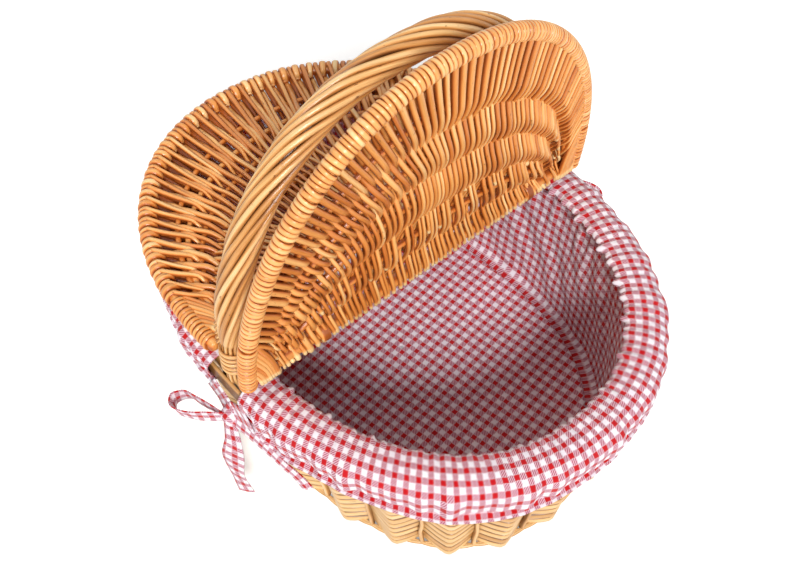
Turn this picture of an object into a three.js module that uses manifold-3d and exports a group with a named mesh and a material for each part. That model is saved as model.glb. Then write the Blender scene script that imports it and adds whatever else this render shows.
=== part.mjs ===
// An oval willow picnic basket with two hinged half lids, a twisted arch handle and a tied cloth lining.
// Millimetres, +Z up. X runs along the basket, Y along the hinge bar. The origin is the middle of the base.
import * as THREE from "three";
import { mergeVertices } from "three/addons/utils/BufferGeometryUtils.js";
import Module from "manifold-3d";

const wasm = await Module();
wasm.setup();

// Body: half sizes of the middle of the wall on the ground and at the rim, and how square each oval is
const FOOT_HALF_LENGTH = 173;
const FOOT_HALF_WIDTH = 126.5;
const FOOT_POWER = 2.45;
const RIM_HALF_LENGTH = 186.5;
const RIM_HALF_WIDTH = 145;
const RIM_POWER = 2.2;
const BODY_HEIGHT = 120;
const CLEARANCE = 0.3;

// Woven side: strips that pass outside one stake and inside the next
const STAKE_COUNT = 48;
const STAKE_RADIUS = 2.3;
const STRIP_THICKNESS = 2.4;
const STRIP_SWING = 5.2;
const STRIP_FLAT_SHARE = 0.16;

// Base: a flat woven mat, the foot ring round it, crossed sticks on both, and the row that holds the stakes
const MAT_THICKNESS = 5;
const BASE_STICK_RADIUS = 2.5;
const LONG_STICKS = 3;
const LONG_STICK_PITCH = 42;
const SHORT_STICKS = 7;
const SHORT_STICK_PITCH = 40;
const FOOT_RING_HEIGHT = 5;
const FOOT_RING_WIDTH = 6.3;
const UPSET_HEIGHT = 2.6;
const UPSET_HALF_WIDTH = 1.6;

// Rim: a flat hoop outside and one inside the stakes, and a rod on each half between them
const HOOP_THICKNESS = 3.2;
const HOOP_HEIGHT = 14;
const CAP_RADIUS = 5.5;
const CAP_TOP_RISE = 1.7;
const CAP_END_GAP = 12;

// Handle: a core with rods twisted round it, bound at each foot
const HANDLE_SPRING_ABOVE_RIM = 3;
const HANDLE_RISE = 183.4;
const HANDLE_POWER = 2.2;
const HANDLE_LEAN_DEG = 2;
const HANDLE_FOOT_BELOW_RIM = 20;
const HANDLE_RODS = 12;
const ROD_RADIUS = 2.3;
const ROD_TIP_RADIUS = 1.3;
const TWIST_RADIUS = 9.9;
const FOOT_TWIST_RADIUS = 5.6;
const TWIST_PITCH = 206;
const SWELL_LENGTH = 45;
const CORE_RADIUS = 6.5;
const CORE_FOOT_RADIUS = 3.9;
const BINDING_ABOVE_RIM = 11;
const FOOT_SLOT_GAP = 1;
const BINDING_TURNS = 5;
const BINDING_WIDTH = 2.8;
const BINDING_THICKNESS = 1;
const BINDING_GAP = 0.5;

// Lids: each a D-shaped frame that turns on the willow rod of its straight edge
const LID_DEPTH = 190.6;
const LID_HALF_WIDTH = 150;
const LID_POWER = 2.11;
const LID_RIM_RADIUS = 7;
const LID_RIM_TAIL = 8;
const LID_BAND_WIDTH = 3;
const LID_BAND_THICKNESS = 6;
const LID_STRIPS = 16;
const LID_STRIP_THICKNESS = 2.6;
const LID_STRIP_GAP_SHARE = 0.09;
const LID_STRIP_LAP = 1.5;
const LID_FAN_DEG = 83;
const FAN_EDGE_SHARE = 0.84;
const LEAST_SWAP_LENGTH = 24;
const LID_FALL_DEG = 3;
const OPEN_LID_DEG = 84.7;
const LID_RIBS = 4;
const RIB_RADIUS = 2.3;
const RIB_LIFT = 1.2;
const RIB_END_SPACING = 6.3;
const RIB_SPACING = 38;

// Hinge: willow loops hold each lid's edge rod to the cross bar
const HINGE_ABOVE_RIM = 22.2;
const HINGE_OFFSET = 22;
const HINGE_ROD_RADIUS = 5.8;
const LOOP_THICKNESS = 1.5;
const LOOP_WIDTH = 6;
const LOOP_PLACE = 95;
const LOOP_STAGGER = 4.5;
const LOOP_SLOT_MARGIN = 0.6;

// Lining: a bag inside and two flaps over the rim, tied at both handle feet
const CLOTH_THICKNESS = 1.5;
const BAG_CORNER = 8;
const FLAP_INNER_BULGE = 4.2;
const FLAP_CREST_RISE = 9;
const FLAP_DROP = 17.5;
const FLAP_FLARE = 3.4;
const FLAP_END_GAP = 16;
const FLAP_FOLDS = 9;
const FOLD_DEPTH = 3;
const TIE_WIDTH = 10;
const TIE_THICKNESS = 1.2;
const TIE_KNOT_RADIUS = 6.5;
const TIE_KNOT_BELOW_RIM = 34;
const STRAP_LAP = 2;
const KNOT_DEPTH_SHARE = 0.6;
const KNOT_HEIGHT_SHARE = 0.8;

// Colours of the willow and the cloth
const WOOD_ROUGHNESS = 0.55;
const CLOTH_ROUGHNESS = 0.9;
const paleWillow = willow(0xe6c894);
const honeyWillow = willow(0xd99a4e);
const handleWillow = willow(0xdcb072);
const gingham = new THREE.MeshStandardMaterial({ color: 0xc93a42, roughness: CLOTH_ROUGHNESS });

function willow(color) {
  return new THREE.MeshStandardMaterial({ color, roughness: WOOD_ROUGHNESS });
}

// Sizes that follow from the ones above
const HOOP_BOTTOM = BODY_HEIGHT - HOOP_HEIGHT;
const HANDLE_SPRING_HEIGHT = BODY_HEIGHT + HANDLE_SPRING_ABOVE_RIM;
const HANDLE_FOOT_HEIGHT = BODY_HEIGHT - HANDLE_FOOT_BELOW_RIM;
const HINGE_HEIGHT = BODY_HEIGHT + HINGE_ABOVE_RIM;
const TIE_KNOT_HEIGHT = BODY_HEIGHT - TIE_KNOT_BELOW_RIM;
const BUNDLE_RADIUS = FOOT_TWIST_RADIUS + ROD_TIP_RADIUS;
const WEAVE_REACH = STRIP_SWING + STRIP_THICKNESS / 2;
const OUTER_HOOP_INSIDE = Math.max(WEAVE_REACH, BUNDLE_RADIUS) + CLEARANCE;
const OUTER_HOOP_OUTSIDE = OUTER_HOOP_INSIDE + HOOP_THICKNESS;
const INNER_HOOP_OUTSIDE = -OUTER_HOOP_INSIDE;
const INNER_HOOP_INSIDE = INNER_HOOP_OUTSIDE - HOOP_THICKNESS;
const STAKE_OFFSET = STRIP_SWING - STRIP_THICKNESS / 2 - CLEARANCE - STAKE_RADIUS;
const FOOT_RING_OUTSIDE = -WEAVE_REACH - CLEARANCE;
const FOOT_RING_INSIDE = FOOT_RING_OUTSIDE - FOOT_RING_WIDTH;
const UPSET_BOTTOM = CLEARANCE;
const WEAVE_BOTTOM = UPSET_BOTTOM + UPSET_HEIGHT + CLEARANCE;
const CAP_HEIGHT = BODY_HEIGHT + CAP_TOP_RISE - CAP_RADIUS;
const STAKE_TOP = CAP_HEIGHT - CAP_RADIUS - CLEARANCE;
const STICK_HEIGHT = Math.max(MAT_THICKNESS, FOOT_RING_HEIGHT) + CLEARANCE + BASE_STICK_RADIUS;
const BAG_BOTTOM = STICK_HEIGHT + BASE_STICK_RADIUS + CLEARANCE;
const BAG_TOP = BODY_HEIGHT - 1;
const BAG_LOW_OFFSET = -WEAVE_REACH - 2 * CLEARANCE;
const BAG_HIGH_OFFSET = INNER_HOOP_INSIDE - CLEARANCE - 0.1;
const FLAP_FACE = OUTER_HOOP_OUTSIDE + CLEARANCE + CLOTH_THICKNESS;
const FLAP_HEM = BODY_HEIGHT - FLAP_DROP;
const TIE_FACE = OUTER_HOOP_OUTSIDE + CLEARANCE + TIE_KNOT_RADIUS * KNOT_DEPTH_SHARE;

// Points round the basket: an oval whose corners are fuller than an ellipse's
function rounded(value, power) {
  return Math.sign(value) * Math.abs(value) ** (2 / power);
}

class Oval extends THREE.Curve {
  getPoint(t) {
    const angle = 2 * Math.PI * t;
    const x = RIM_HALF_LENGTH * rounded(Math.cos(angle), RIM_POWER);
    return new THREE.Vector3(x, RIM_HALF_WIDTH * rounded(Math.sin(angle), RIM_POWER), 0);
  }
}

const rimOval = new Oval();
rimOval.arcLengthDivisions = 720;
const RIM_LENGTH = rimOval.getLength();

// The point a given share of the way round the rim, at a height and an offset from the middle of the wall
function aroundWall(share, height, offset = 0) {
  const turn = ((share % 1) + 1) % 1;
  const angle = 2 * Math.PI * rimOval.getUtoTmapping(turn);
  const climb = height / BODY_HEIGHT;
  const halfLength = THREE.MathUtils.lerp(FOOT_HALF_LENGTH, RIM_HALF_LENGTH, climb) + offset;
  const halfWidth = THREE.MathUtils.lerp(FOOT_HALF_WIDTH, RIM_HALF_WIDTH, climb) + offset;
  const power = THREE.MathUtils.lerp(FOOT_POWER, RIM_POWER, climb);
  const x = halfLength * rounded(Math.cos(angle), power);
  return new THREE.Vector3(x, halfWidth * rounded(Math.sin(angle), power), height);
}

// Half the width of the middle of the wall at a height, where the handle's feet stand
function wallHalfWidth(height) {
  return aroundWall(0.25, height).y;
}

function stakeShare(index) {
  return (index + 0.5) / STAKE_COUNT;
}

// A closed solid through a row of rings of points, joined end to end or capped
function loft(rings, joined = false) {
  const sides = rings[0].length;
  const indices = [];
  const spans = joined ? rings.length : rings.length - 1;
  for (let i = 0; i < spans; i += 1) {
    const here = i * sides;
    const next = ((i + 1) % rings.length) * sides;
    for (let j = 0; j < sides; j += 1) {
      const k = (j + 1) % sides;
      indices.push(here + j, next + j, next + k, here + j, next + k, here + k);
    }
  }
  if (!joined) {
    addCap(indices, 0, sides, true);
    addCap(indices, (rings.length - 1) * sides, sides, false);
  }
  const positions = rings.flat().flatMap((point) => point.toArray());
  const geometry = new THREE.BufferGeometry();
  geometry.setAttribute("position", new THREE.Float32BufferAttribute(positions, 3));
  geometry.setIndex(indices);
  return facingOut(geometry);
}

// Closes a ring with triangles laid like a strip from its first point to the opposite one
function addCap(indices, start, sides, atStart) {
  const put = (a, b, c) => {
    indices.push(start + a, start + (atStart ? b : c), start + (atStart ? c : b));
  };
  for (let i = 0; i < sides - 2 - i; i += 1) {
    put(i, i + 1, sides - 1 - i);
    if (i + 1 < sides - 2 - i) {
      put(i + 1, sides - 2 - i, sides - 1 - i);
    }
  }
}

// Turns every face round when the solid's signed volume is negative
function facingOut(geometry) {
  const place = geometry.getAttribute("position");
  const index = geometry.getIndex();
  const [a, b, c] = [new THREE.Vector3(), new THREE.Vector3(), new THREE.Vector3()];
  let volume = 0;
  for (let i = 0; i < index.count; i += 3) {
    a.fromBufferAttribute(place, index.getX(i));
    b.fromBufferAttribute(place, index.getX(i + 1));
    c.fromBufferAttribute(place, index.getX(i + 2));
    volume += a.dot(b.cross(c));
  }
  if (volume < 0) {
    for (let i = 0; i < index.count; i += 3) {
      const second = index.getX(i + 1);
      index.setX(i + 1, index.getX(i + 2));
      index.setX(i + 2, second);
    }
  }
  return geometry;
}

// A rod along a row of centres, with a radius for each, and a direction that sets where its first side lies
function rod(centres, radiusAt, sides, reference) {
  const rings = centres.map((centre, i) => {
    const before = centres[Math.max(i - 1, 0)];
    const after = centres[Math.min(i + 1, centres.length - 1)];
    const along = after.clone().sub(before).normalize();
    const first = reference.clone().addScaledVector(along, -reference.dot(along)).normalize();
    const second = along.clone().cross(first);
    const radius = radiusAt(i);
    return Array.from({ length: sides }, (_, side) => {
      const angle = (2 * Math.PI * side) / sides;
      const point = centre.clone().addScaledVector(first, radius * Math.cos(angle));
      return point.addScaledVector(second, radius * Math.sin(angle));
    });
  });
  return loft(rings);
}

// A flat strip along a row of centres; across is the direction of its width
function strip(centres, acrossAt, width, thickness) {
  const rings = centres.map((centre, i) => {
    const before = centres[Math.max(i - 1, 0)];
    const after = centres[Math.min(i + 1, centres.length - 1)];
    const along = after.clone().sub(before).normalize();
    const across = acrossAt(i);
    across.addScaledVector(along, -across.dot(along)).normalize();
    const face = along.clone().cross(across);
    return corners(width, thickness).map(([sideways, outwards]) =>
      centre.clone().addScaledVector(across, sideways).addScaledVector(face, outwards),
    );
  });
  return loft(rings);
}

function corners(width, thickness) {
  const [w, t] = [width / 2, thickness / 2];
  return [[-w, -t], [w, -t], [w, t], [-w, t]];
}

// A closed band round the wall, whose section is given as [offset, height] corners
function band(section, shares) {
  const ringAt = (share) => section.map(([offset, height]) => aroundWall(share, height, offset));
  return loft(shares.map(ringAt), true);
}

function box(inside, outside, bottom, top) {
  return [[inside, bottom], [outside, bottom], [outside, top], [inside, top]];
}

const stakeShares = Array.from({ length: STAKE_COUNT }, (_, i) => stakeShare(i));

// Joins and cuts with the solid library, on geometry that keeps only its positions
function solidOf(geometry) {
  const bare = geometry.clone();
  bare.deleteAttribute("normal");
  bare.deleteAttribute("uv");
  const merged = mergeVertices(bare, 1e-4);
  const mesh = new wasm.Mesh({
    numProp: 3,
    vertProperties: merged.getAttribute("position").array,
    triVerts: new Uint32Array(merged.getIndex().array),
  });
  return new wasm.Manifold(mesh);
}

function geometryOf(solid) {
  const mesh = solid.getMesh();
  const geometry = new THREE.BufferGeometry();
  geometry.setAttribute("position", new THREE.BufferAttribute(mesh.vertProperties, 3));
  geometry.setIndex(new THREE.BufferAttribute(mesh.triVerts, 1));
  return geometry;
}

function joined(geometries) {
  return geometryOf(geometries.map(solidOf).reduce((whole, piece) => whole.add(piece)));
}

function cut(geometry, tools) {
  return geometryOf(tools.map(solidOf).reduce((whole, tool) => whole.subtract(tool), solidOf(geometry)));
}

function named(name, geometry, material) {
  const mesh = new THREE.Mesh(geometry, material);
  mesh.name = name;
  return mesh;
}

// Base
function baseMat() {
  const outline = stakeShares.map((share) => {
    const point = aroundWall(share, 0, FOOT_RING_INSIDE - CLEARANCE);
    return new THREE.Vector2(point.x, point.y);
  });
  return new THREE.ExtrudeGeometry(new THREE.Shape(outline), { depth: MAT_THICKNESS, bevelEnabled: false });
}

// A stick's half length where the oval's half size across it leaves room
function stickReach(halfAlong, halfAcross, place) {
  return halfAlong * (1 - Math.abs(place / halfAcross) ** FOOT_POWER) ** (1 / FOOT_POWER);
}

function baseSticks() {
  const inset = WEAVE_REACH + UPSET_HALF_WIDTH;
  const halfLength = FOOT_HALF_LENGTH - inset;
  const halfWidth = FOOT_HALF_WIDTH - inset;
  const up = new THREE.Vector3(0, 0, 1);
  const stick = (from, to) => rod([from, to], () => BASE_STICK_RADIUS, 6, up);
  const places = (count, pitch) => Array.from({ length: count }, (_, i) => (i - (count - 1) / 2) * pitch);
  const long = places(LONG_STICKS, LONG_STICK_PITCH).map((y) => {
    const reach = stickReach(halfLength, halfWidth, y);
    return stick(new THREE.Vector3(-reach, y, STICK_HEIGHT), new THREE.Vector3(reach, y, STICK_HEIGHT));
  });
  const short = places(SHORT_STICKS, SHORT_STICK_PITCH).map((x) => {
    const reach = stickReach(halfWidth, halfLength, x);
    return stick(new THREE.Vector3(x, -reach, STICK_HEIGHT), new THREE.Vector3(x, reach, STICK_HEIGHT));
  });
  return joined([...long, ...short]);
}

function footRing() {
  return band(box(FOOT_RING_INSIDE, FOOT_RING_OUTSIDE, 0, FOOT_RING_HEIGHT), stakeShares);
}

// Side: stakes that rise out of the upset, and the strips woven round them
function sideStakes() {
  const upset = band(
    box(-UPSET_HALF_WIDTH, UPSET_HALF_WIDTH, UPSET_BOTTOM, UPSET_BOTTOM + UPSET_HEIGHT),
    stakeShares,
  );
  const stakes = stakeShares.map((share, i) => {
    const offset = i % 2 === 0 ? -STAKE_OFFSET : STAKE_OFFSET;
    const foot = aroundWall(share, UPSET_BOTTOM + UPSET_HEIGHT / 2, offset);
    const top = aroundWall(share, STAKE_TOP, offset);
    return rod([foot, top], () => STAKE_RADIUS, 5, new THREE.Vector3(foot.x, foot.y, 0).normalize());
  });
  return joined([upset, ...stakes]);
}

function sideWeave() {
  const rings = stakeShares.flatMap((share, i) => {
    const swing = i % 2 === 0 ? -STRIP_SWING : STRIP_SWING;
    const section = box(swing - STRIP_THICKNESS / 2, swing + STRIP_THICKNESS / 2, WEAVE_BOTTOM, STAKE_TOP);
    return [-STRIP_FLAT_SHARE, STRIP_FLAT_SHARE].map((shift) =>
      section.map(([offset, height]) => aroundWall(share + shift / STAKE_COUNT, height, offset)),
    );
  });
  const wall = loft(rings, true);
  const slots = [-1, 1].map((side) => {
    const height = STAKE_TOP - HANDLE_FOOT_HEIGHT + 2 * FOOT_SLOT_GAP;
    const width = 2 * (BUNDLE_RADIUS + CLEARANCE);
    const slot = new THREE.BoxGeometry(width, 4 * WEAVE_REACH, height);
    const middle = HANDLE_FOOT_HEIGHT - FOOT_SLOT_GAP + height / 2;
    slot.translate(0, side * wallHalfWidth(HANDLE_FOOT_HEIGHT), middle);
    return slot;
  });
  return cut(wall, slots);
}

// Rim
function hoop(inside, outside) {
  return band(box(inside, outside, HOOP_BOTTOM, BODY_HEIGHT), stakeShares);
}

// Shares of the way round, evenly spaced over the half on one side, stopping short of both handle feet
function halfShares(middle, endGap, steps) {
  const reach = 0.25 - endGap / RIM_LENGTH;
  return Array.from({ length: steps + 1 }, (_, i) => middle + reach * ((2 * i) / steps - 1));
}

function rimCap(middle) {
  const offset = (OUTER_HOOP_INSIDE + INNER_HOOP_OUTSIDE) / 2;
  const centres = halfShares(middle, CAP_END_GAP, 24).map((share) => aroundWall(share, CAP_HEIGHT, offset));
  return rod(centres, () => CAP_RADIUS, 6, new THREE.Vector3(0, 0, 1));
}

// Handle: the path of its middle, from one foot over the crest to the other
const lean = THREE.MathUtils.degToRad(HANDLE_LEAN_DEG);
const archHalfWidth = wallHalfWidth(HANDLE_SPRING_HEIGHT);

class HandleArch extends THREE.Curve {
  getPoint(t) {
    const angle = Math.PI * t;
    const rise = HANDLE_RISE * rounded(Math.max(Math.sin(angle), 0), HANDLE_POWER);
    const y = -archHalfWidth * rounded(Math.cos(angle), HANDLE_POWER);
    return new THREE.Vector3(-rise * Math.tan(lean), y, HANDLE_SPRING_HEIGHT + rise);
  }
}

const handlePath = new THREE.CurvePath();
const handleFeet = [-1, 1].map((side) => [
  new THREE.Vector3(0, side * wallHalfWidth(HANDLE_FOOT_HEIGHT), HANDLE_FOOT_HEIGHT),
  new THREE.Vector3(0, side * archHalfWidth, HANDLE_SPRING_HEIGHT),
]);
const handleArch = new HandleArch();
handleArch.arcLengthDivisions = 600;
handlePath.add(new THREE.LineCurve3(handleFeet[0][0], handleFeet[0][1]));
handlePath.add(handleArch);
handlePath.add(new THREE.LineCurve3(handleFeet[1][1], handleFeet[1][0]));
const HANDLE_LENGTH = handlePath.getLength();
const BINDING_LENGTH = BINDING_TURNS * (BINDING_WIDTH + BINDING_GAP) + BINDING_WIDTH;
const BINDING_START = HANDLE_FOOT_BELOW_RIM + BINDING_ABOVE_RIM;
const BOUND_LENGTH = BINDING_START + BINDING_LENGTH;

// The handle's middle at a length from its near foot, with two directions across it
function handleFrame(length) {
  const t = THREE.MathUtils.clamp(length / HANDLE_LENGTH, 0, 1);
  const step = 0.002;
  const before = handlePath.getPoint(Math.max(t - step, 0));
  const after = handlePath.getPoint(Math.min(t + step, 1));
  const along = after.sub(before).normalize();
  const sideways = new THREE.Vector3(Math.cos(lean), 0, Math.sin(lean));
  sideways.addScaledVector(along, -sideways.dot(along)).normalize();
  return { middle: handlePath.getPoint(t), sideways, inPlane: along.clone().cross(sideways) };
}

// How far a rod has swelled from its thin foot, from 0 in the binding to 1 in the twisted arch
function swell(length) {
  const fromFoot = Math.min(length, HANDLE_LENGTH - length);
  return THREE.MathUtils.smoothstep(fromFoot, BOUND_LENGTH, BOUND_LENGTH + SWELL_LENGTH);
}

function twistAt(length) {
  const twisted = THREE.MathUtils.clamp(length, BOUND_LENGTH, HANDLE_LENGTH - BOUND_LENGTH) - BOUND_LENGTH;
  return (2 * Math.PI * twisted) / TWIST_PITCH;
}

function offHandle(length, radius, angle) {
  const { middle, sideways, inPlane } = handleFrame(length);
  const point = middle.addScaledVector(sideways, radius * Math.cos(angle));
  return point.addScaledVector(inPlane, radius * Math.sin(angle));
}

const ARCH_STEPS = 18;
const springLength = handleFeet[0][0].distanceTo(handleFeet[0][1]);
const archSpan = HANDLE_LENGTH - 2 * BOUND_LENGTH;
const handleStations = [
  0,
  springLength,
  BINDING_START,
  ...Array.from({ length: ARCH_STEPS + 1 }, (_, i) => BOUND_LENGTH + (archSpan * i) / ARCH_STEPS),
  HANDLE_LENGTH - BINDING_START,
  HANDLE_LENGTH - springLength,
  HANDLE_LENGTH,
];

function handleRod(index) {
  const start = (2 * Math.PI * (index + 0.5)) / HANDLE_RODS;
  const centres = handleStations.map((length) => {
    const radius = THREE.MathUtils.lerp(FOOT_TWIST_RADIUS, TWIST_RADIUS, swell(length));
    return offHandle(length, radius, start + twistAt(length));
  });
  const radiusAt = (i) => THREE.MathUtils.lerp(ROD_TIP_RADIUS, ROD_RADIUS, swell(handleStations[i]));
  return rod(centres, radiusAt, 5, new THREE.Vector3(1, 0, 0));
}

function handleCore() {
  const centres = handleStations.map((length) => handleFrame(length).middle);
  const radiusAt = (i) => THREE.MathUtils.lerp(CORE_FOOT_RADIUS, CORE_RADIUS, swell(handleStations[i]));
  return rod(centres, radiusAt, 8, new THREE.Vector3(1, 0, 0));
}

// One unbroken flat skein wound round the foot of the rods
function handleBinding(side) {
  const stepsPerTurn = 16;
  const steps = BINDING_TURNS * stepsPerTurn;
  const radius = BUNDLE_RADIUS + CLEARANCE + BINDING_THICKNESS / 2;
  const rings = Array.from({ length: steps + 1 }, (_, i) => {
    const angle = (2 * Math.PI * i) / stepsPerTurn;
    const climb = BINDING_START + BINDING_WIDTH / 2 + ((BINDING_WIDTH + BINDING_GAP) * i) / stepsPerTurn;
    return corners(BINDING_WIDTH, BINDING_THICKNESS).map(([along, outwards]) => {
      const length = side < 0 ? climb + along : HANDLE_LENGTH - climb - along;
      return offHandle(length, radius + outwards, side * angle);
    });
  });
  return { geometry: loft(rings), gap: leastTurnGap(rings, stepsPerTurn) };
}

// The least distance from a turn's points to the points of the turns beyond the next half turn
function leastTurnGap(rings, stepsPerTurn) {
  let least = Infinity;
  rings.forEach((ring, i) => {
    rings.slice(i + Math.ceil(stepsPerTurn / 2)).forEach((other) => {
      ring.forEach((a) => other.forEach((b) => {
        least = Math.min(least, a.distanceTo(b));
      }));
    });
  });
  return least;
}

// Hinge: the cross bar between the handle's feet and the loops round it and a lid's edge rod
function crossBar() {
  const climb = (HINGE_HEIGHT + HINGE_ROD_RADIUS - HANDLE_SPRING_HEIGHT) / HANDLE_RISE;
  const acrossArch = archHalfWidth * (1 - climb ** HANDLE_POWER) ** (1 / HANDLE_POWER);
  const reach = acrossArch - BUNDLE_RADIUS - BINDING_THICKNESS - 3 * CLEARANCE;
  const ends = [-1, 1].map((side) => new THREE.Vector3(0, side * reach, HINGE_HEIGHT));
  return rod(ends, () => HINGE_ROD_RADIUS, 10, new THREE.Vector3(0, 0, 1));
}

function hingeLoop(side, place) {
  const radius = HINGE_ROD_RADIUS + CLEARANCE + LOOP_THICKNESS / 2;
  const arcSteps = 6;
  const rings = [];
  [0, 1].forEach((end) => {
    for (let i = 0; i <= arcSteps; i += 1) {
      const angle = Math.PI * (end + i / arcSteps) + Math.PI / 2;
      const out = new THREE.Vector3(side * Math.cos(angle), 0, Math.sin(angle));
      const centre = new THREE.Vector3(side * HINGE_OFFSET * end, place, HINGE_HEIGHT);
      rings.push(corners(LOOP_WIDTH, LOOP_THICKNESS).map(([across, outwards]) => {
        const point = centre.clone().addScaledVector(out, radius + outwards);
        return point.add(new THREE.Vector3(0, across, 0));
      }));
    }
  });
  return loft(rings, true);
}

// Lids, in their own frame: the hinge axis is Y, +X runs away from it and +Z is the outside
function lidOutline(depth, halfWidth, steps, fromAngle = -Math.PI / 2) {
  return Array.from({ length: steps + 1 }, (_, i) => {
    const angle = fromAngle * (1 - (2 * i) / steps);
    return new THREE.Vector2(
      depth * rounded(Math.max(Math.cos(angle), 0), LID_POWER),
      halfWidth * rounded(Math.sin(angle), LID_POWER),
    );
  });
}

function flat(point, height = 0) {
  return new THREE.Vector3(point.x, point.y, height);
}

function lidRim() {
  const arc = lidOutline(LID_DEPTH, LID_HALF_WIDTH, 28).map((point) => flat(point));
  const tails = [-1, 1].map((side) => new THREE.Vector3(-LID_RIM_TAIL, side * LID_HALF_WIDTH, 0));
  return rod([tails[0], ...arc, tails[1]], () => LID_RIM_RADIUS, 7, new THREE.Vector3(0, 0, 1));
}

function lidEdge() {
  const reach = LID_HALF_WIDTH - LID_RIM_RADIUS - CLEARANCE;
  const ends = [-1, 1].map((side) => new THREE.Vector3(0, side * reach, 0));
  return rod(ends, () => HINGE_ROD_RADIUS, 10, new THREE.Vector3(0, 0, 1));
}

const loopPlaces = [-LOOP_PLACE + LOOP_STAGGER, LOOP_PLACE + LOOP_STAGGER];

// A rib is an arc inside the rim's band, and its ends stop at the edge's band
const LID_INSET = LID_RIM_RADIUS + CLEARANCE;
const LID_BAND_INSIDE = LID_INSET + LID_BAND_WIDTH;
const LOOP_SLOT_DEPTH = HINGE_ROD_RADIUS + 2 * CLEARANCE + LOOP_THICKNESS;
const LID_EDGE_INSIDE = LOOP_SLOT_DEPTH + LID_BAND_WIDTH;

function ribSize(index) {
  const last = LID_HALF_WIDTH - LID_BAND_INSIDE - 2 * CLEARANCE - RIB_RADIUS;
  return { depth: RIB_SPACING * (index + 1), halfWidth: last - RIB_END_SPACING * (LID_RIBS - 1 - index) };
}

function lidRib(index) {
  const { depth, halfWidth } = ribSize(index);
  const end = LID_EDGE_INSIDE + CLEARANCE;
  const endAngle = -Math.acos(((end + RIB_RADIUS) / depth) ** (LID_POWER / 2));
  const arc = lidOutline(depth, halfWidth, 11, endAngle).map((point) => flat(point, RIB_LIFT));
  const [first, last] = [arc[0], arc[arc.length - 1]].map((point) => new THREE.Vector3(end, point.y, RIB_LIFT));
  return rod([first, ...arc, last], () => RIB_RADIUS, 6, new THREE.Vector3(0, 0, 1));
}

// A point on an outline inside the rim, at a share of the fan that the strips make
function fanPoint(share, inset) {
  const turn = THREE.MathUtils.degToRad(LID_FAN_DEG) * (2 * share - 1);
  return new THREE.Vector2(
    (LID_DEPTH - inset) * rounded(Math.cos(turn), LID_POWER),
    (LID_HALF_WIDTH - inset) * rounded(Math.sin(turn), LID_POWER),
  );
}

// The band that the woven strips end in: it follows the rim and the edge rod, with slots for the hinge loops
// Its corners lie in the gaps between the strips, so that each strip meets one flat face
function lidBand() {
  const near = HINGE_ROD_RADIUS + CLEARANCE;
  const slotHalf = LOOP_WIDTH / 2 + LOOP_SLOT_MARGIN;
  const arc = (inset, edge) => {
    const points = Array.from({ length: LID_STRIPS + 1 }, (_, i) => fanPoint(i / LID_STRIPS, inset));
    const halfWidth = LID_HALF_WIDTH - inset;
    return [new THREE.Vector2(edge, -halfWidth), ...points, new THREE.Vector2(edge, halfWidth)];
  };
  const slots = [...loopPlaces].reverse().flatMap((place) => [
    new THREE.Vector2(near, place + slotHalf),
    new THREE.Vector2(LOOP_SLOT_DEPTH, place + slotHalf),
    new THREE.Vector2(LOOP_SLOT_DEPTH, place - slotHalf),
    new THREE.Vector2(near, place - slotHalf),
  ]);
  const shape = new THREE.Shape([...arc(LID_INSET, near), ...slots]);
  shape.holes.push(new THREE.Path(arc(LID_BAND_INSIDE, LID_EDGE_INSIDE)));
  const geometry = new THREE.ExtrudeGeometry(shape, { depth: LID_BAND_THICKNESS, bevelEnabled: false });
  return geometry.translate(0, 0, -LID_BAND_THICKNESS / 2);
}

// A straight line across the lid, from the rim's band to the edge's
function fanLine(share) {
  const edgeReach = FAN_EDGE_SHARE * ribSize(0).halfWidth;
  const to = new THREE.Vector2(LID_EDGE_INSIDE - LID_STRIP_LAP, edgeReach * (2 * share - 1));
  return [fanPoint(share, LID_BAND_INSIDE - LID_STRIP_LAP), to];
}

// The point where a line across the lid passes a rib
function ribCrossing([from, to], index) {
  const { depth, halfWidth } = ribSize(index);
  let outer = 0;
  let inner = 1;
  for (let i = 0; i < 24; i += 1) {
    const middle = (outer + inner) / 2;
    const point = from.clone().lerp(to, middle);
    const isOutside = (point.x / depth) ** LID_POWER + Math.abs(point.y / halfWidth) ** LID_POWER > 1;
    outer = isOutside ? middle : outer;
    inner = isOutside ? inner : middle;
  }
  return from.clone().lerp(to, inner);
}

// One woven strip: it changes sides from rib to rib, and keeps its side where the ribs lie close together
// It lies level where it enters the edge's band
function lidStrip(index) {
  const lines = [LID_STRIP_GAP_SHARE, 1 - LID_STRIP_GAP_SHARE].map((part) => fanLine((index + part) / LID_STRIPS));
  const pass = RIB_RADIUS + 2 * CLEARANCE + LID_STRIP_THICKNESS / 2;
  const ringAt = ([left, right], height) => [
    flat(left, height - LID_STRIP_THICKNESS / 2),
    flat(right, height - LID_STRIP_THICKNESS / 2),
    flat(right, height + LID_STRIP_THICKNESS / 2),
    flat(left, height + LID_STRIP_THICKNESS / 2),
  ];
  const rings = [ringAt(lines.map(([from]) => from), 0)];
  let side = index % 2 === 0 ? 1 : -1;
  let before = null;
  for (let rib = LID_RIBS - 1; rib >= 0; rib -= 1) {
    const ends = lines.map((line) => ribCrossing(line, rib));
    const middle = ends[0].clone().add(ends[1]).multiplyScalar(0.5);
    if (before && middle.distanceTo(before) > LEAST_SWAP_LENGTH) {
      side = -side;
    }
    before = middle;
    rings.push(ringAt(ends, RIB_LIFT + side * pass));
  }
  const level = lines.map(([from, to]) => {
    const beforeBand = (LID_EDGE_INSIDE + CLEARANCE - to.x) / (from.x - to.x);
    return to.clone().lerp(from, beforeBand);
  });
  rings.push(ringAt(level, 0));
  rings.push(ringAt(lines.map(([, to]) => to), 0));
  return loft(rings);
}

function lidWeave() {
  return joined([lidBand(), ...Array.from({ length: LID_STRIPS }, (_, i) => lidStrip(i))]);
}

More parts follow.
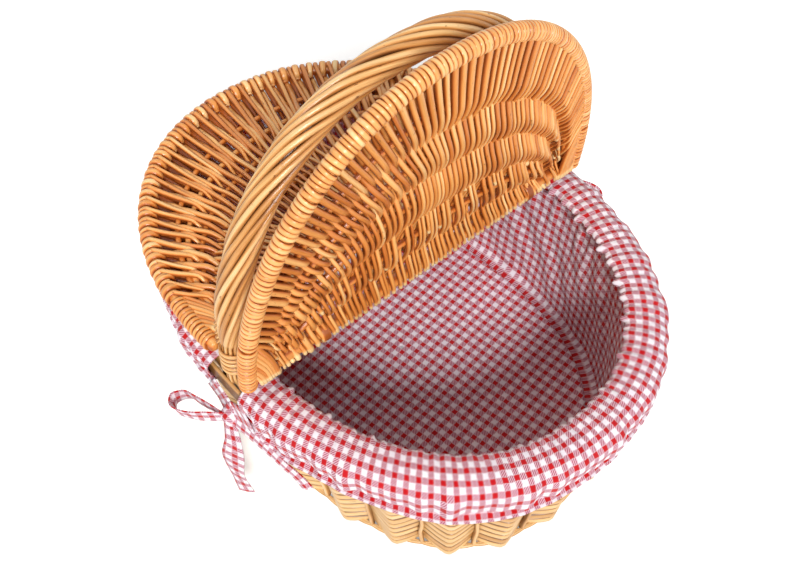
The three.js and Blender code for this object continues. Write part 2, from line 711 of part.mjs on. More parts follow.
function lid(side, name) {
  const group = new THREE.Group();
  group.add(named(`${name}_rim`, lidRim(), honeyWillow));
  group.add(named(`${name}_edge`, lidEdge(), honeyWillow));
  group.add(named(`${name}_weave`, lidWeave(), honeyWillow));
  for (let i = 0; i < LID_RIBS; i += 1) {
    group.add(named(`${name}_rib_${i + 1}`, lidRib(i), honeyWillow));
  }
  group.position.set(side * HINGE_OFFSET, 0, HINGE_HEIGHT);
  return group;
}

// Lining
function liningBag() {
  const inside = -CLOTH_THICKNESS;
  const levels = [
    [BAG_LOW_OFFSET - BAG_CORNER, BAG_BOTTOM],
    [BAG_LOW_OFFSET, BAG_BOTTOM + BAG_CORNER],
    [BAG_HIGH_OFFSET, HOOP_BOTTOM - CLEARANCE],
    [BAG_HIGH_OFFSET, BAG_TOP],
    [BAG_HIGH_OFFSET + inside, BAG_TOP],
    [BAG_HIGH_OFFSET + inside, HOOP_BOTTOM - CLEARANCE],
    [BAG_LOW_OFFSET + inside, BAG_BOTTOM + BAG_CORNER],
    [BAG_LOW_OFFSET - BAG_CORNER + inside / 2, BAG_BOTTOM - inside],
  ];
  const ringAt = ([offset, height]) => stakeShares.map((share) => aroundWall(share, height, offset));
  return loft(levels.map(ringAt));
}

// The flap's outer face, from the bag's edge over the crest to the hem: offset, height, share of the folds
function flapProfile() {
  const inner = BAG_HIGH_OFFSET - CLOTH_THICKNESS;
  return [
    [inner, BAG_TOP + CLEARANCE, 0],
    [inner - FLAP_INNER_BULGE, BODY_HEIGHT + FLAP_CREST_RISE / 2, 0],
    [inner + 1.5, BODY_HEIGHT + FLAP_CREST_RISE, 0],
    [FLAP_FACE / 5, BODY_HEIGHT + FLAP_CREST_RISE, 0.1],
    [FLAP_FACE, BODY_HEIGHT + CLOTH_THICKNESS, 0.25],
    [FLAP_FACE + FLAP_FLARE / 3, (BODY_HEIGHT + FLAP_HEM) / 2, 0.6],
    [FLAP_FACE + FLAP_FLARE, FLAP_HEM, 1],
  ];
}

// The same outline moved in by the cloth's thickness
function insetProfile(profile, thickness) {
  return profile.map(([offset, height, share], i) => {
    const [x0, y0] = profile[Math.max(i - 1, 0)];
    const [x1, y1] = profile[Math.min(i + 1, profile.length - 1)];
    const length = Math.hypot(x1 - x0, y1 - y0);
    const inX = (thickness * (y1 - y0)) / length;
    const inY = (-thickness * (x1 - x0)) / length;
    return [offset + inX, height + inY, share];
  });
}

function liningFlap(middle) {
  const outside = flapProfile();
  const section = [...outside, ...insetProfile(outside, CLOTH_THICKNESS).reverse()];
  const foldSteps = FLAP_FOLDS * 4;
  const rings = halfShares(middle, FLAP_END_GAP, foldSteps + 2).map((share, i) => {
    const along = THREE.MathUtils.clamp((i - 1) / foldSteps, 0, 1);
    const fold = FOLD_DEPTH * (0.5 - 0.5 * Math.cos(2 * Math.PI * FLAP_FOLDS * along));
    return section.map(([offset, height, part]) => aroundWall(share, height, offset + part * fold));
  });
  return loft(rings);
}

// A bow at a handle foot: a knot, a loop, two tails and the two straps that come from the flaps
// Each ribbon's route is a list of steps from the knot: along the wall, towards it, and up
function tieBow() {
  const face = RIM_HALF_WIDTH + TIE_FACE;
  const knotPlace = new THREE.Vector3(0, -face, TIE_KNOT_HEIGHT);
  const knot = new THREE.SphereGeometry(TIE_KNOT_RADIUS, 8, 6);
  knot.scale(1, KNOT_DEPTH_SHARE, KNOT_HEIGHT_SHARE);
  knot.translate(...knotPlace.toArray());
  const ribbon = (points, across, steps) => {
    const places = points.map((point) => knotPlace.clone().add(new THREE.Vector3(...point)));
    const route = new THREE.CatmullRomCurve3(places);
    return strip(route.getPoints(steps), () => across.clone(), TIE_WIDTH, TIE_THICKNESS);
  };
  const upright = new THREE.Vector3(0, 0.2, 1);
  const level = new THREE.Vector3(1, 0.3, 0);
  const alongWall = new THREE.Vector3(1, 0, 0);
  const loopPoints = [
    [0, 0, 1],
    [-14, -9, 4],
    [-28, -22, 3],
    [-38, -32, 0],
    [-36, -37, -5],
    [-26, -29, -9],
    [-13, -13, -7],
    [0, 0, -1],
  ];
  const longTail = [
    [0, 0, 0],
    [2, -3, -14],
    [1, -5, -34],
    [5, -7, -56],
    [13, -9, -78],
  ];
  const shortTail = [
    [0, 0, 0],
    [16, 3, -4],
    [36, 8, -9],
    [52, 13, -24],
  ];
  const strapShare = 0.25 - (FLAP_END_GAP + TIE_WIDTH / 2) / RIM_LENGTH;
  const seat = aroundWall(strapShare, FLAP_HEM, FLAP_FACE + FLAP_FLARE);
  const strapStep = face - seat.y - 2 * CLEARANCE - TIE_THICKNESS / 2;
  const strapRise = FLAP_HEM + STRAP_LAP - TIE_KNOT_HEIGHT;
  const straps = [-1, 1].map((side) => [
    [0, 0, 0],
    [side * TIE_KNOT_RADIUS, strapStep, strapRise / 2],
    [side * seat.x, strapStep, strapRise],
  ]);
  return joined([
    knot,
    ribbon(loopPoints, upright, 12),
    ribbon(longTail, level, 6),
    ribbon(shortTail, upright, 4),
    ...straps.map((points) => ribbon(points, alongWall, 2)),
  ]);
}

// The basket
const basket = new THREE.Group();
basket.add(named("base_mat", baseMat(), paleWillow));
basket.add(named("base_sticks", baseSticks(), paleWillow));
basket.add(named("foot_ring", footRing(), paleWillow));
basket.add(named("side_stakes", sideStakes(), paleWillow));
basket.add(named("side_weave", sideWeave(), paleWillow));
basket.add(named("rim_hoop_outer", hoop(OUTER_HOOP_INSIDE, OUTER_HOOP_OUTSIDE), paleWillow));
basket.add(named("rim_hoop_inner", hoop(INNER_HOOP_INSIDE, INNER_HOOP_OUTSIDE), paleWillow));
basket.add(named("rim_cap_east", rimCap(0), paleWillow));
basket.add(named("rim_cap_west", rimCap(0.5), paleWillow));

basket.add(named("handle_core", handleCore(), handleWillow));
for (let i = 0; i < HANDLE_RODS; i += 1) {
  basket.add(named(`handle_rod_${String(i + 1).padStart(2, "0")}`, handleRod(i), handleWillow));
}
[["near", -1], ["far", 1]].forEach(([place, side]) => {
  const { geometry, gap } = handleBinding(side);
  console.log(`handle_binding_${place}: least gap between turns ${gap.toFixed(2)} mm`);
  basket.add(named(`handle_binding_${place}`, geometry, handleWillow));
});

basket.add(named("cross_bar", crossBar(), paleWillow));
[["east", 1], ["west", -1]].forEach(([end, side]) => {
  loopPlaces.forEach((place, i) => {
    const name = `hinge_loop_${end}_${i === 0 ? "a" : "b"}`;
    basket.add(named(name, hingeLoop(side, side * place), honeyWillow));
  });
});

basket.add(named("lining_bag", liningBag(), gingham));
basket.add(named("lining_flap_east", liningFlap(0), gingham));
basket.add(named("lining_flap_west", liningFlap(0.5), gingham));
basket.add(named("tie_near", tieBow(), gingham));
const farTie = named("tie_far", tieBow(), gingham);
farTie.rotation.z = Math.PI;
basket.add(farTie);

const eastLid = lid(1, "east_lid");
eastLid.rotation.y = -THREE.MathUtils.degToRad(OPEN_LID_DEG);
basket.add(eastLid);
const westLid = lid(-1, "west_lid");
westLid.rotation.set(0, THREE.MathUtils.degToRad(LID_FALL_DEG), Math.PI, "ZYX");
basket.add(westLid);

export default basket;
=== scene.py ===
"""Looks of an oval willow picnic basket with two hinged half lids and a tied gingham lining.

Sizes are millimetres, as in the model's own source, and become metres when a mesh is made.
"""

import math

import bpy
import numpy as np
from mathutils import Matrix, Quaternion, Vector


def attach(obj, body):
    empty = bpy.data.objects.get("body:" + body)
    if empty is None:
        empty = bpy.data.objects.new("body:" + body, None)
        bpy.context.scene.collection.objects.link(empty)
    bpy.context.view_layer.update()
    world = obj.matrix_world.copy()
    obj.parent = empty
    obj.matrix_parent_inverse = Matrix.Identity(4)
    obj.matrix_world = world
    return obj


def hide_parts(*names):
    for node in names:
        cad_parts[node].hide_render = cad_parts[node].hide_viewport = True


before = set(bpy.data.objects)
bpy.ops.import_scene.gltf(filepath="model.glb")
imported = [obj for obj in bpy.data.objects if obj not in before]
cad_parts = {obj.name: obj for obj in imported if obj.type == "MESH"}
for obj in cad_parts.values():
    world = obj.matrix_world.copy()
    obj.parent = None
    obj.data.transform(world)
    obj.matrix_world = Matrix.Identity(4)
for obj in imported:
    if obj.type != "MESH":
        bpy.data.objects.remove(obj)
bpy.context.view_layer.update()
MM = 0.001
UP = np.array([0, 0, 1.0])

# The camera that fits the photograph
IMAGE_WIDTH = 803
SENSOR_WIDTH = 36
FOCAL_PIXELS = 1054.2
CAMERA_AZIMUTH_DEG = 48.22
CAMERA_ELEVATION_DEG = 52.03
CAMERA_ROLL_DEG = 0.43
CAMERA_TARGET = (18.11, -16.58, 126.66)
CAMERA_DISTANCE = 737.07

# The wall's oval at the foot and at the rim
FOOT_HALF_LENGTH = 173
FOOT_HALF_WIDTH = 126.5
FOOT_POWER = 2.45
RIM_HALF_LENGTH = 186.5
RIM_HALF_WIDTH = 145
RIM_POWER = 2.2
BODY_HEIGHT = 120

# Base
MAT_RINGS = 26
MAT_START = 15.4
MAT_PITCH = 4.35
MAT_END = 135
MAT_POINT_SPACING = 3.5
MAT_HEIGHT = 2.75
MAT_WAVE = 0.7
MAT_WAVE_COUNT = 16
MAT_ROD_RADIUS = 1.95
MAT_LAST_RADIUS = 1.6
MAT_LAST_HALF_WIDTH = 20
STICK_HEIGHT = 7.8
STICK_RADIUS = 2.4
STICK_END_GAP = 9.5
LONG_STICK_PLACES = (-42, 0, 42)
SHORT_STICK_PLACES = (-120, -80, -40, 0, 40, 80, 120)
FOOT_RING_TURNS = 36
FOOT_RING_OFFSET = -9.85
FOOT_RING_SWING = 1.7
FOOT_RING_HEIGHT = 2.5
FOOT_RING_RISE = 1.05
FOOT_RING_RADIUS = 1.4

# Side
STAKE_COUNT = 48
STAKE_OFFSET = 1.4
STAKE_HALF_WIDTH = 1.6
STAKE_HALF_DEPTH = 2.2
STAKE_TOP = 110.4
UPSET_BOTTOM = 0.3
UPSET_SWING = 0.9
UPSET_RADIUS = 1.2
WEAVE_BOTTOM = 0.4
STRIP_PITCH = 8.2
STRIP_WIDTH = 6.5
STRIP_THICKNESS = 2.5
STRIP_SWING = 5.2

# Rim
HOOP_BOTTOM = 106
HOOP_INSIDE = 7.2
HOOP_THICKNESS = 3.2
CAP_RADIUS = 5.5
CAP_HEIGHT = 116.2
CAP_END_GAP = 12

# Handle
HANDLE_SPRING_HEIGHT = 123
HANDLE_RISE = 183.4
HANDLE_POWER = 2.2
HANDLE_LEAN = math.radians(2)
HANDLE_FOOT_HEIGHT = 100
HANDLE_RODS = 12
ROD_RADIUS = 2.24
ROD_TIP_RADIUS = 1.3
TWIST_RADIUS = 8.5
FOOT_TWIST_RADIUS = 5.6
TWIST_PITCH = 206
SWELL_LENGTH = 40
CORE_RADIUS = 5.9
CORE_FOOT_RADIUS = 3.9
BINDING_START = 31
BINDING_TURNS = 5
BINDING_WIDTH = 3.4
BINDING_THICKNESS = 1.6
BINDING_GAP = 0.7
TAIL_RADIUS = 9.6
TAIL_LENGTH = 19
TAIL_ANGLE = math.radians(205)
TAIL_PITCH = 9

# Hinges and lids
CROSS_BAR_REACH = 135.7
HINGE_HEIGHT = 142.2
HINGE_OFFSET = 22
HINGE_ROD_RADIUS = 5.8
LOOP_THICKNESS = 1.5
LOOP_WIDTH = 6
LOOP_PLACE = 95
LOOP_STAGGER = 4.5
LID_DEPTH = 190.6
LID_HALF_WIDTH = 150
LID_POWER = 2.11
LID_RIM_TAIL = 8
RIM_CORE_RADIUS = 4.2
EAST_LID = ("east_lid", 1, math.radians(84.7))
WEST_LID = ("west_lid", -1, -math.radians(3))
EDGE_RADIUS = 4.4
EDGE_GAP = 1.2
RIB_RADIUS = 2.3
RIB_HEIGHT = 1.2
RIB_SIZES = ((38, 117.9), (76, 124.2), (114, 130.5), (152, 136.8))
RIB_START = 11.2
EAST_LIFT = 3.9
WEST_LIFT = 3.7
UNDER_LIFT = 3.4
FOLD_DEG = 132
WEST_RODS = 84
EAST_RODS = 68
WIDEST_EAST_PITCH = 7.4
RIM_BOUND_END = 42
RIM_BOUND_PITCH = 3.7
CORNER_RODS = 7
BOW_START = 16
BOW_DEPTH = 134.5
BOW_HALF_WIDTH = 134.6
BOW_RADIUS = 2.5
BOW_HEIGHT = 1.4
OVER_BOW = BOW_HEIGHT + BOW_RADIUS + 1.5

# Where a rod leaves the rim, its slant there in degrees, and where it meets the straight edge
RIM_PLACES = (-150, -130, -90, -50, -25, 0, 25, 50, 100, 130, 150)
WEST_SLANTS = (-38, -31, -12, -3, 2, 10, 17, 21, 28, 34, 40)
WEST_ENDS = (-128, -84, -54, -32, -20, -10, 0, 16, 60, 92, 128)
EAST_SLANTS = (-42, -36, -30, -22, -14, -6, 0, 5, 12, 22, 38)
EAST_ENDS = (-136, -88, -50, -20, -6, 8, 24, 42, 80, 108, 136)

# Lining: the flap's section is offsets from the middle of the wall, and heights
BAG_FLOOR = 12.3
BAG_CORNER = 9
BAG_LOW_OFFSET = -8
BAG_HIGH_OFFSET = -11.6
BAG_GIRTH = 1040
BAG_TURN = math.radians(9)
FLAP_PROFILE = (
    (-12.4, 118.6),
    (-16.2, 123.6),
    (-11.4, 127.3),
    (1.6, 127.6),
    (12.2, 121.5),
    (13.2, 113.0),
    (12.4, 107.4),
    (9.0, 104.2),
    (12.2, 101.6),
    (15.6, 100.4),
)
FLAP_END_GAP = 16
FLAP_FOLDS = 9
FOLD_DEPTH = 2.6
GATHER = 1.12
HEM_PLACES = (-0.235, -0.2, -0.175, -0.14, -0.1, -0.045, 0.01, 0.1)
HEM_DROPS = (14, 12, 6, 6, 12, 10, 8, 6)
WEST_HEM_DROP = 5
CLOTH_THICKNESS = 0.9
CHECK_PERIOD = 8.2
TWILL_PERIOD = 1.7

# Ties: their routes start at the knot
TIE_WIDTH = 14
KNOT = np.array([4, -159.6, 86.5])
KNOT_HALF_SIZES = (7.5, 4.6, 6)
TIE_LOOP = (
    (0, 0, 1),
    (-10, -10, -1),
    (-20, -19, -2),
    (-32, -24, -4),
    (-40, -19, -5),
    (-37, -10, -5),
    (-26, -7, -4),
    (0, 0, 0),
)
TIE_FRONT_END = (
    (0, 0, 0),
    (4.5, -3, -9),
    (9, -6, -18),
    (10, -9, -32),
    (11, -10, -46),
    (15, -9.5, -58),
    (19.5, -9, -68),
)
TIE_BACK_END = ((0, 0, 0), (20, 3, -1), (38, 6, -5), (50, 8, -9), (60, 11, -15), (67, 13, -23))

# Tones: the share of a palette taken by its dark first colour, which is painted shade, and the pale wood of
# a cut end
PAINTED_SHADE_TONE = 0.2
CUT_END_TONE = 1.0

# The bevel at a strand's ends, as shares of its half size there
BEVEL_LENGTH = 0.35
BEVEL_SIZE = 0.72

rng = np.random.default_rng(7)


# Small helpers on arrays of points
def stacked(*parts):
    """Points from their coordinates, each an array or one number for all."""
    return np.stack(np.broadcast_arrays(*[np.asarray(part, float) for part in parts]), axis=-1)


def between(low, high, share):
    return low + (high - low) * share


def smoothstep(x, low, high):
    t = np.clip((x - low) / (high - low), 0, 1)
    return t * t * (3 - 2 * t)


def with_ends(values):
    """The same rows, with the first and the last one twice."""
    return np.concatenate([values[:1], values, values[-1:]])


def unit(vectors):
    return vectors / np.maximum(np.linalg.norm(vectors, axis=-1, keepdims=True), 1e-9)


def square_to(vectors, along):
    """Unit vectors nearest to the given ones that are square to a direction."""
    return unit(vectors - along * np.sum(along * vectors, axis=-1, keepdims=True))


def tangents(centres, joined=False):
    if joined:
        return unit(np.roll(centres, -1, axis=0) - np.roll(centres, 1, axis=0))
    return unit(np.gradient(centres, axis=0))


def frames(centres, reference, joined=False):
    """Two directions across a line: the first lies nearest to the reference."""
    along = tangents(centres, joined)
    first = square_to(np.broadcast_to(reference, centres.shape), along)
    return first, np.cross(along, first)


def lengths(line):
    steps = np.linalg.norm(np.diff(line, axis=0), axis=1)
    return np.concatenate([[0], np.cumsum(steps)])


def at_lengths(line, run, places):
    """Points of a line at lengths from its start."""
    return np.stack([np.interp(places, run, line[:, k]) for k in range(3)], axis=-1)


def resampled(points, spacing):
    """The same polyline with points about a spacing apart."""
    points = np.asarray(points, float)
    run = lengths(points)
    count = max(int(run[-1] / spacing) + 1, 3)
    return at_lengths(points, run, np.linspace(0, run[-1], count))


def softened(points, rounds):
    """Corners rounded by a running mean that keeps both ends."""
    for _ in range(rounds):
        middle = (points[:-2] + 2 * points[1:-1] + points[2:]) / 4
        points = np.concatenate([points[:1], middle, points[-1:]])
    return points


def smooth_curve(points, steps):
    """A curve through points, as Catmull and Rom's spline."""
    points = np.asarray(points, float)
    padded = np.concatenate([2 * points[:1] - points[1:2], points, 2 * points[-1:] - points[-2:-1]])
    t = np.linspace(0, 1, steps, endpoint=False)[:, None]
    made = []
    for a, b, c, d in zip(padded, padded[1:], padded[2:], padded[3:]):
        square, cube = 2 * a - 5 * b + 4 * c - d, 3 * b - a - 3 * c + d
        made.append(0.5 * (2 * b + (c - a) * t + square * t**2 + cube * t**3))
    return np.concatenate([*made, points[-1:]])


def waves(share, height, counts, seed, tilt=2.0):
    """A smooth wobble of about one unit, from waves that fit so many times into a share of 1."""
    draw = np.random.default_rng(seed)
    total = np.zeros(np.broadcast(share, height).shape)
    for count in counts:
        phase, lean = draw.uniform(0, 2 * math.pi), draw.uniform(-tilt, tilt)
        total = total + np.sin(2 * math.pi * count * share + lean * height + phase)
    return total / math.sqrt(len(counts) / 2)


# The oval of the wall
def rounded(value, power):
    return np.sign(value) * np.abs(value) ** (2 / power)


def oval(half_length, half_width, power, angle):
    """Both plan coordinates of an oval whose power says how square it is."""
    return half_length * rounded(np.cos(angle), power), half_width * rounded(np.sin(angle), power)


oval_angles = np.linspace(0, 2 * math.pi, 7201)
oval_run = lengths(stacked(*oval(RIM_HALF_LENGTH, RIM_HALF_WIDTH, RIM_POWER, oval_angles), 0))
RIM_LENGTH = oval_run[-1]


def around_wall(share, height, offset=0.0):
    """Points a share of the way round the rim, at a height and an offset from the middle of the wall."""
    share, height, offset = np.broadcast_arrays(*[np.asarray(x, float) for x in (share, height, offset)])
    angle = np.interp((share % 1) * RIM_LENGTH, oval_run, oval_angles)
    climb = height / BODY_HEIGHT
    half_length = between(FOOT_HALF_LENGTH, RIM_HALF_LENGTH, climb) + offset
    half_width = between(FOOT_HALF_WIDTH, RIM_HALF_WIDTH, climb) + offset
    return stacked(*oval(half_length, half_width, between(FOOT_POWER, RIM_POWER, climb), angle), height)


def wall_half_width(height):
    return float(around_wall(0.25, height)[1])


def outward(share):
    """The direction that points out of the wall, level with the floor."""
    return unit(around_wall(share, BODY_HEIGHT / 2, 6.0) - around_wall(share, BODY_HEIGHT / 2, -6.0))


# Meshes of strands
def round_section(sides):
    angle = 2 * math.pi * np.arange(sides) / sides
    return stacked(np.cos(angle), np.sin(angle))


def slab_section(sides, power=4.5):
    """A section between a rectangle and an ellipse, for flat strips."""
    angle = 2 * math.pi * (np.arange(sides) + 0.5) / sides
    return stacked(*oval(1, 1, power, angle))


def painted_edge_shade(section, axis=1, start=0.5, depth=0.8):
    """How light each point of a section is, as painted shade: darker on the sides that a neighbour would
    shade.
    """
    place = np.abs(section[:, axis]) / np.abs(section[:, axis]).max()
    return 1 - depth * smoothstep(place, start, 0.985)


class Strands:
    """Closed strands gathered into one mesh, with the tone, painted shade included, and grain that their
    material needs.
    """

    def __init__(self):
        self.points, self.tones, self.grains = [], [], []
        self.quads, self.caps, self.count = [], [], 0

    def loft(self, rings, tones, grain, joined):
        """Adds one closed body through rings of points, counterclockwise seen from the far end."""
        many, sides = rings.shape[:2]
        index = self.count + np.arange(many * sides).reshape(many, sides)
        here = index if joined else index[:-1]
        ahead = np.roll(index, -1, axis=0) if joined else index[1:]
        beside, beside_ahead = np.roll(here, -1, axis=1), np.roll(ahead, -1, axis=1)
        self.quads.append(np.stack([here, beside, beside_ahead, ahead], axis=-1).reshape(-1, 4))
        if not joined:
            self.caps += [index[0][::-1], index[-1]]
        self.points.append(rings.reshape(-1, 3))
        self.tones.append(np.broadcast_to(tones, (many, sides)).reshape(-1))
        self.grains.append(grain.reshape(-1, 3))
        self.count += many * sides

    def strand(self, centres, sizes, reference, tone=None, section=10, joined=False, shade=None):
        """Adds a rod or strip along centres.

        sizes holds the half sizes along the reference and across it. section is an outline, or the
        number of sides of a round one.
        """
        centres = np.asarray(centres, float)
        section = round_section(section) if isinstance(section, int) else section
        sizes = np.asarray(sizes, float)
        sizes = np.broadcast_to(sizes if sizes.ndim == 2 else sizes.reshape(-1, 1), (len(centres), 2))
        first, second = frames(centres, reference, joined)
        if not joined:
            along = tangents(centres)
            bevel = BEVEL_LENGTH * min(sizes[0].min(), sizes[-1].min())
            centres, sizes = with_ends(centres), with_ends(sizes)
            centres[0] -= along[0] * bevel
            centres[-1] += along[-1] * bevel
            sizes[[0, -1]] *= BEVEL_SIZE
            first, second = with_ends(first), with_ends(second)
            tone = with_ends(tone) if np.ndim(tone) else tone
        across, deep = section[None, :, 0] * sizes[:, :1], section[None, :, 1] * sizes[:, 1:]
        rings = centres[:, None] + first[:, None] * across[..., None] + second[:, None] * deep[..., None]
        run = lengths(centres)[:, None] + rng.uniform(0, 4000)
        seed = rng.uniform(0, 400)
        tone = rng.uniform(0, 1) if tone is None else tone
        # Painted shade: the tone is scaled at each point of the section by shade, towards the palette's
        # dark first colour, and a pale cut end is left unshaded.
        light = between(PAINTED_SHADE_TONE, 1, np.reshape(tone, (-1, 1)).astype(float))
        shade = painted_edge_shade(section) if shade is None else shade
        tones = np.where(light > 0.999, light, light * np.reshape(shade, (1, -1)))
        self.loft(rings, tones, stacked(run, across + seed, deep + seed), joined)

    def piece(self, name, look, node, body="root"):
        """Makes the mesh. It stands for a node of the model and moves with a body."""
        points = np.concatenate(self.points) * MM
        quads = np.concatenate(self.quads)
        cap_sizes = np.array([len(cap) for cap in self.caps], int)
        loops = np.concatenate([quads.reshape(-1), *self.caps])
        cap_starts = 4 * len(quads) + np.cumsum(cap_sizes) - cap_sizes
        starts = np.concatenate([4 * np.arange(len(quads)), cap_starts])
        mesh = bpy.data.meshes.new(name)
        mesh.vertices.add(len(points))
        mesh.vertices.foreach_set("co", points.astype(np.float32).reshape(-1))
        mesh.loops.add(len(loops))
        mesh.loops.foreach_set("vertex_index", loops.astype(np.int32))
        mesh.polygons.add(len(starts))
        mesh.polygons.foreach_set("loop_start", starts.astype(np.int32))
        mesh.update(calc_edges=True)
        mesh.validate()
        mesh.shade_smooth()
        give_attribute(mesh, "tone", "FLOAT", "value", self.tones)
        give_attribute(mesh, "grain", "FLOAT_VECTOR", "vector", self.grains)
        add_piece(name, mesh, look, node, body)


def give_attribute(mesh, name, kind, field, parts):
    values = np.concatenate(parts).astype(np.float32).reshape(-1)
    mesh.attributes.new(name, kind, "POINT").data.foreach_set(field, values)


def add_piece(name, mesh, look, node, body):
    slot, material = look
    piece = bpy.data.objects.new(name, mesh)
    bpy.context.scene.collection.objects.link(piece)
    mesh.materials.append(material)
    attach(piece, body)
    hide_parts(node)
    return piece


# Materials
def linear(red, green, blue):
    """A colour given as it shows on a screen, from 0 to 255, as the light that a shader needs."""
    parts = [c / 255 for c in (red, green, blue)]
    return [c / 12.92 if c <= 0.04045 else ((c + 0.055) / 1.055) ** 2.4 for c in parts] + [1.0]


class Nodes:
    """Adds nodes to a material or a world and joins them, so that a recipe reads from top to bottom."""

    def __init__(self, owner, shader="Principled BSDF"):
        owner.use_nodes = True
        self.tree = owner.node_tree
        self.shader = self.tree.nodes[shader]

    def add(self, kind, inputs=(), **settings):
        node = self.tree.nodes.new(kind)
        for key, value in settings.items():
            setattr(node, key, value)
        for socket, value in inputs:
            self.put(node.inputs[socket], value)
        return node

    def put(self, socket, value):
        if isinstance(value, bpy.types.NodeSocket):
            self.tree.links.new(value, socket)
        else:
            socket.default_value = value

    def set(self, **values):
        """Sets the shader's own inputs, whose names are given with _ for a space."""
        for name, value in values.items():
            self.put(self.shader.inputs[name.replace("_", " ")], value)

    def math(self, operation, a, b=0.0):
        return self.add("ShaderNodeMath", [(0, a), (1, b)], operation=operation).outputs[0]

    def attribute(self, name, output="Vector"):
        return self.add("ShaderNodeAttribute", attribute_name=name).outputs[output]

    def noise(self, vector, scale, detail=3.0):
        node = self.add("ShaderNodeTexNoise", [("Vector", vector), ("Scale", scale), ("Detail", detail)])
        return node.outputs["Fac"]

    def grained(self, vector, along, across, detail):
        """Noise that is drawn out along the grain."""
        factors = (along, across, across)
        node = self.add("ShaderNodeVectorMath", [(0, vector), (1, factors)], operation="MULTIPLY")
        return self.noise(node.outputs[0], 1.0, detail)

    def ramp(self, factor, stops):
        node = self.add("ShaderNodeValToRGB", [("Fac", factor)])
        elements = node.color_ramp.elements
        while len(elements) < len(stops):
            elements.new(0.5)
        for element, (place, colour) in zip(elements, stops):
            element.position = place
            element.color = colour
        return node.outputs["Color"]

    def mix(self, factor, a, b, blend="MIX"):
        inputs = [(0, factor), (6, a), (7, b)]
        return self.add("ShaderNodeMix", inputs, data_type="RGBA", blend_type=blend).outputs[2]

    def bump(self, height, strength, distance, below=None):
        inputs = [("Height", height), ("Strength", strength), ("Distance", distance)]
        if below is not None:
            inputs.append(("Normal", below))
        return self.add("ShaderNodeBump", inputs).outputs[0]


def willow(name, colours, streak=0.35, specks=0.6):
    """Peeled willow: a tone for each rod, whose low end is painted shade, streaks and pores along it, and
    brown specks where buds were.
    """
    material = bpy.data.materials.new(name)
    n = Nodes(material)
    grain = n.attribute("grain")
    tone = n.attribute("tone", "Fac")
    base = n.ramp(tone, [(i / (len(colours) - 1), linear(*c)) for i, c in enumerate(colours)])
    slow = n.grained(grain, 0.02, 0.12, 2.0)
    fine = n.grained(grain, 0.05, 1.6, 4.0)
    patch = n.ramp(slow, [(0.35, (0.8, 0.68, 0.5, 1)), (0.6, (1.05, 1.03, 1.0, 1))])
    streaks = n.ramp(fine, [(0.3, (0.62, 0.42, 0.26, 1)), (0.62, (1, 1, 1, 1))])
    colour = n.mix(0.55, base, patch, "MULTIPLY")
    colour = n.mix(streak, colour, streaks, "MULTIPLY")
    spots = n.grained(grain, 0.16, 0.45, 2.0)
    marks = n.ramp(spots, [(0.69, (0, 0, 0, 1)), (0.74, (1, 1, 1, 1))])
    colour = n.mix(n.math("MULTIPLY", marks, specks), colour, linear(112, 58, 26))
    ridges = n.grained(grain, 0.03, 2.4, 3.0)
    n.set(Base_Color=colour, Roughness=0.3, Specular_IOR_Level=0.6, Normal=n.bump(ridges, 0.35, 0.0005))
    return material


def stripes(n, run, period, softness=0.06):
    """1 on one half of each period and 0 on the other, with edges as soft as a thread or two."""
    saw = n.math("PINGPONG", n.math("DIVIDE", run, period), 0.5)
    inputs = [("Value", saw), ("From Min", 0.25 - softness), ("From Max", 0.25 + softness)]
    return n.add("ShaderNodeMapRange", inputs).outputs[0]


def gingham_cloth(name):
    """Cotton gingham: red bands both ways, with a fine twill where red crosses white."""
    material = bpy.data.materials.new(name)
    n = Nodes(material)
    weft = n.attribute("weft")
    u, v, _ = n.add("ShaderNodeSeparateXYZ", [(0, weft)]).outputs
    wander = n.math("SUBTRACT", n.noise(weft, 0.35, 2.0), 0.5)
    across = stripes(n, n.math("ADD", u, wander), CHECK_PERIOD)
    along = stripes(n, n.math("ADD", v, wander), CHECK_PERIOD)
    twill = stripes(n, n.math("ADD", u, v), TWILL_PERIOD, 0.2)
    both = n.math("MULTIPLY", across, along)
    crossing = n.math("ABSOLUTE", n.math("SUBTRACT", across, along))
    worn = n.noise(weft, 0.06, 3.0)
    red = n.ramp(worn, [(0.3, linear(176, 12, 22)), (0.7, linear(194, 24, 32))])
    white = n.ramp(worn, [(0.3, linear(230, 224, 236)), (0.7, linear(240, 238, 245))])
    mixed = n.mix(twill, linear(224, 186, 202), linear(148, 48, 70))
    colour = n.mix(crossing, n.mix(both, white, red), mixed)
    threads = n.add("ShaderNodeTexWave", [("Vector", weft), ("Scale", 0.7), ("Distortion", 1.0)])
    weave = n.bump(threads.outputs["Fac"], 0.25, 0.0002)
    crumpled = n.bump(n.noise(weft, 0.11, 3.0), 0.5, 0.002, weave)
    n.set(Base_Color=colour, Roughness=0.85, Specular_IOR_Level=0.2, Sheen_Weight=0.15, Normal=crumpled)
    return material


# A look is the name of its slot and its material
# The first colour of each palette is a dark brown for painted shade: the shaded sides of rods, the handle's
# core and the lids' lower arms.
PALE_COLOURS = [(92, 50, 20), (206, 158, 98), (222, 180, 122), (234, 198, 142), (244, 216, 168)]
HONEY_COLOURS = [
    (84, 30, 8),
    (196, 108, 44),
    (220, 140, 66),
    (236, 166, 90),
    (244, 188, 118),
    (251, 222, 166),
]
HANDLE_COLOURS = [(88, 38, 12), (202, 144, 80), (222, 170, 106), (236, 194, 132), (248, 216, 164)]
pale_willow = ("pale_willow", willow("split_willow", PALE_COLOURS, streak=0.4, specks=0.4))
honey_willow = ("honey_willow", willow("buff_willow", HONEY_COLOURS))
handle_willow = ("handle_willow", willow("handle_rods", HANDLE_COLOURS, streak=0.5, specks=0.8))
gingham = ("gingham", gingham_cloth("gingham_cotton"))


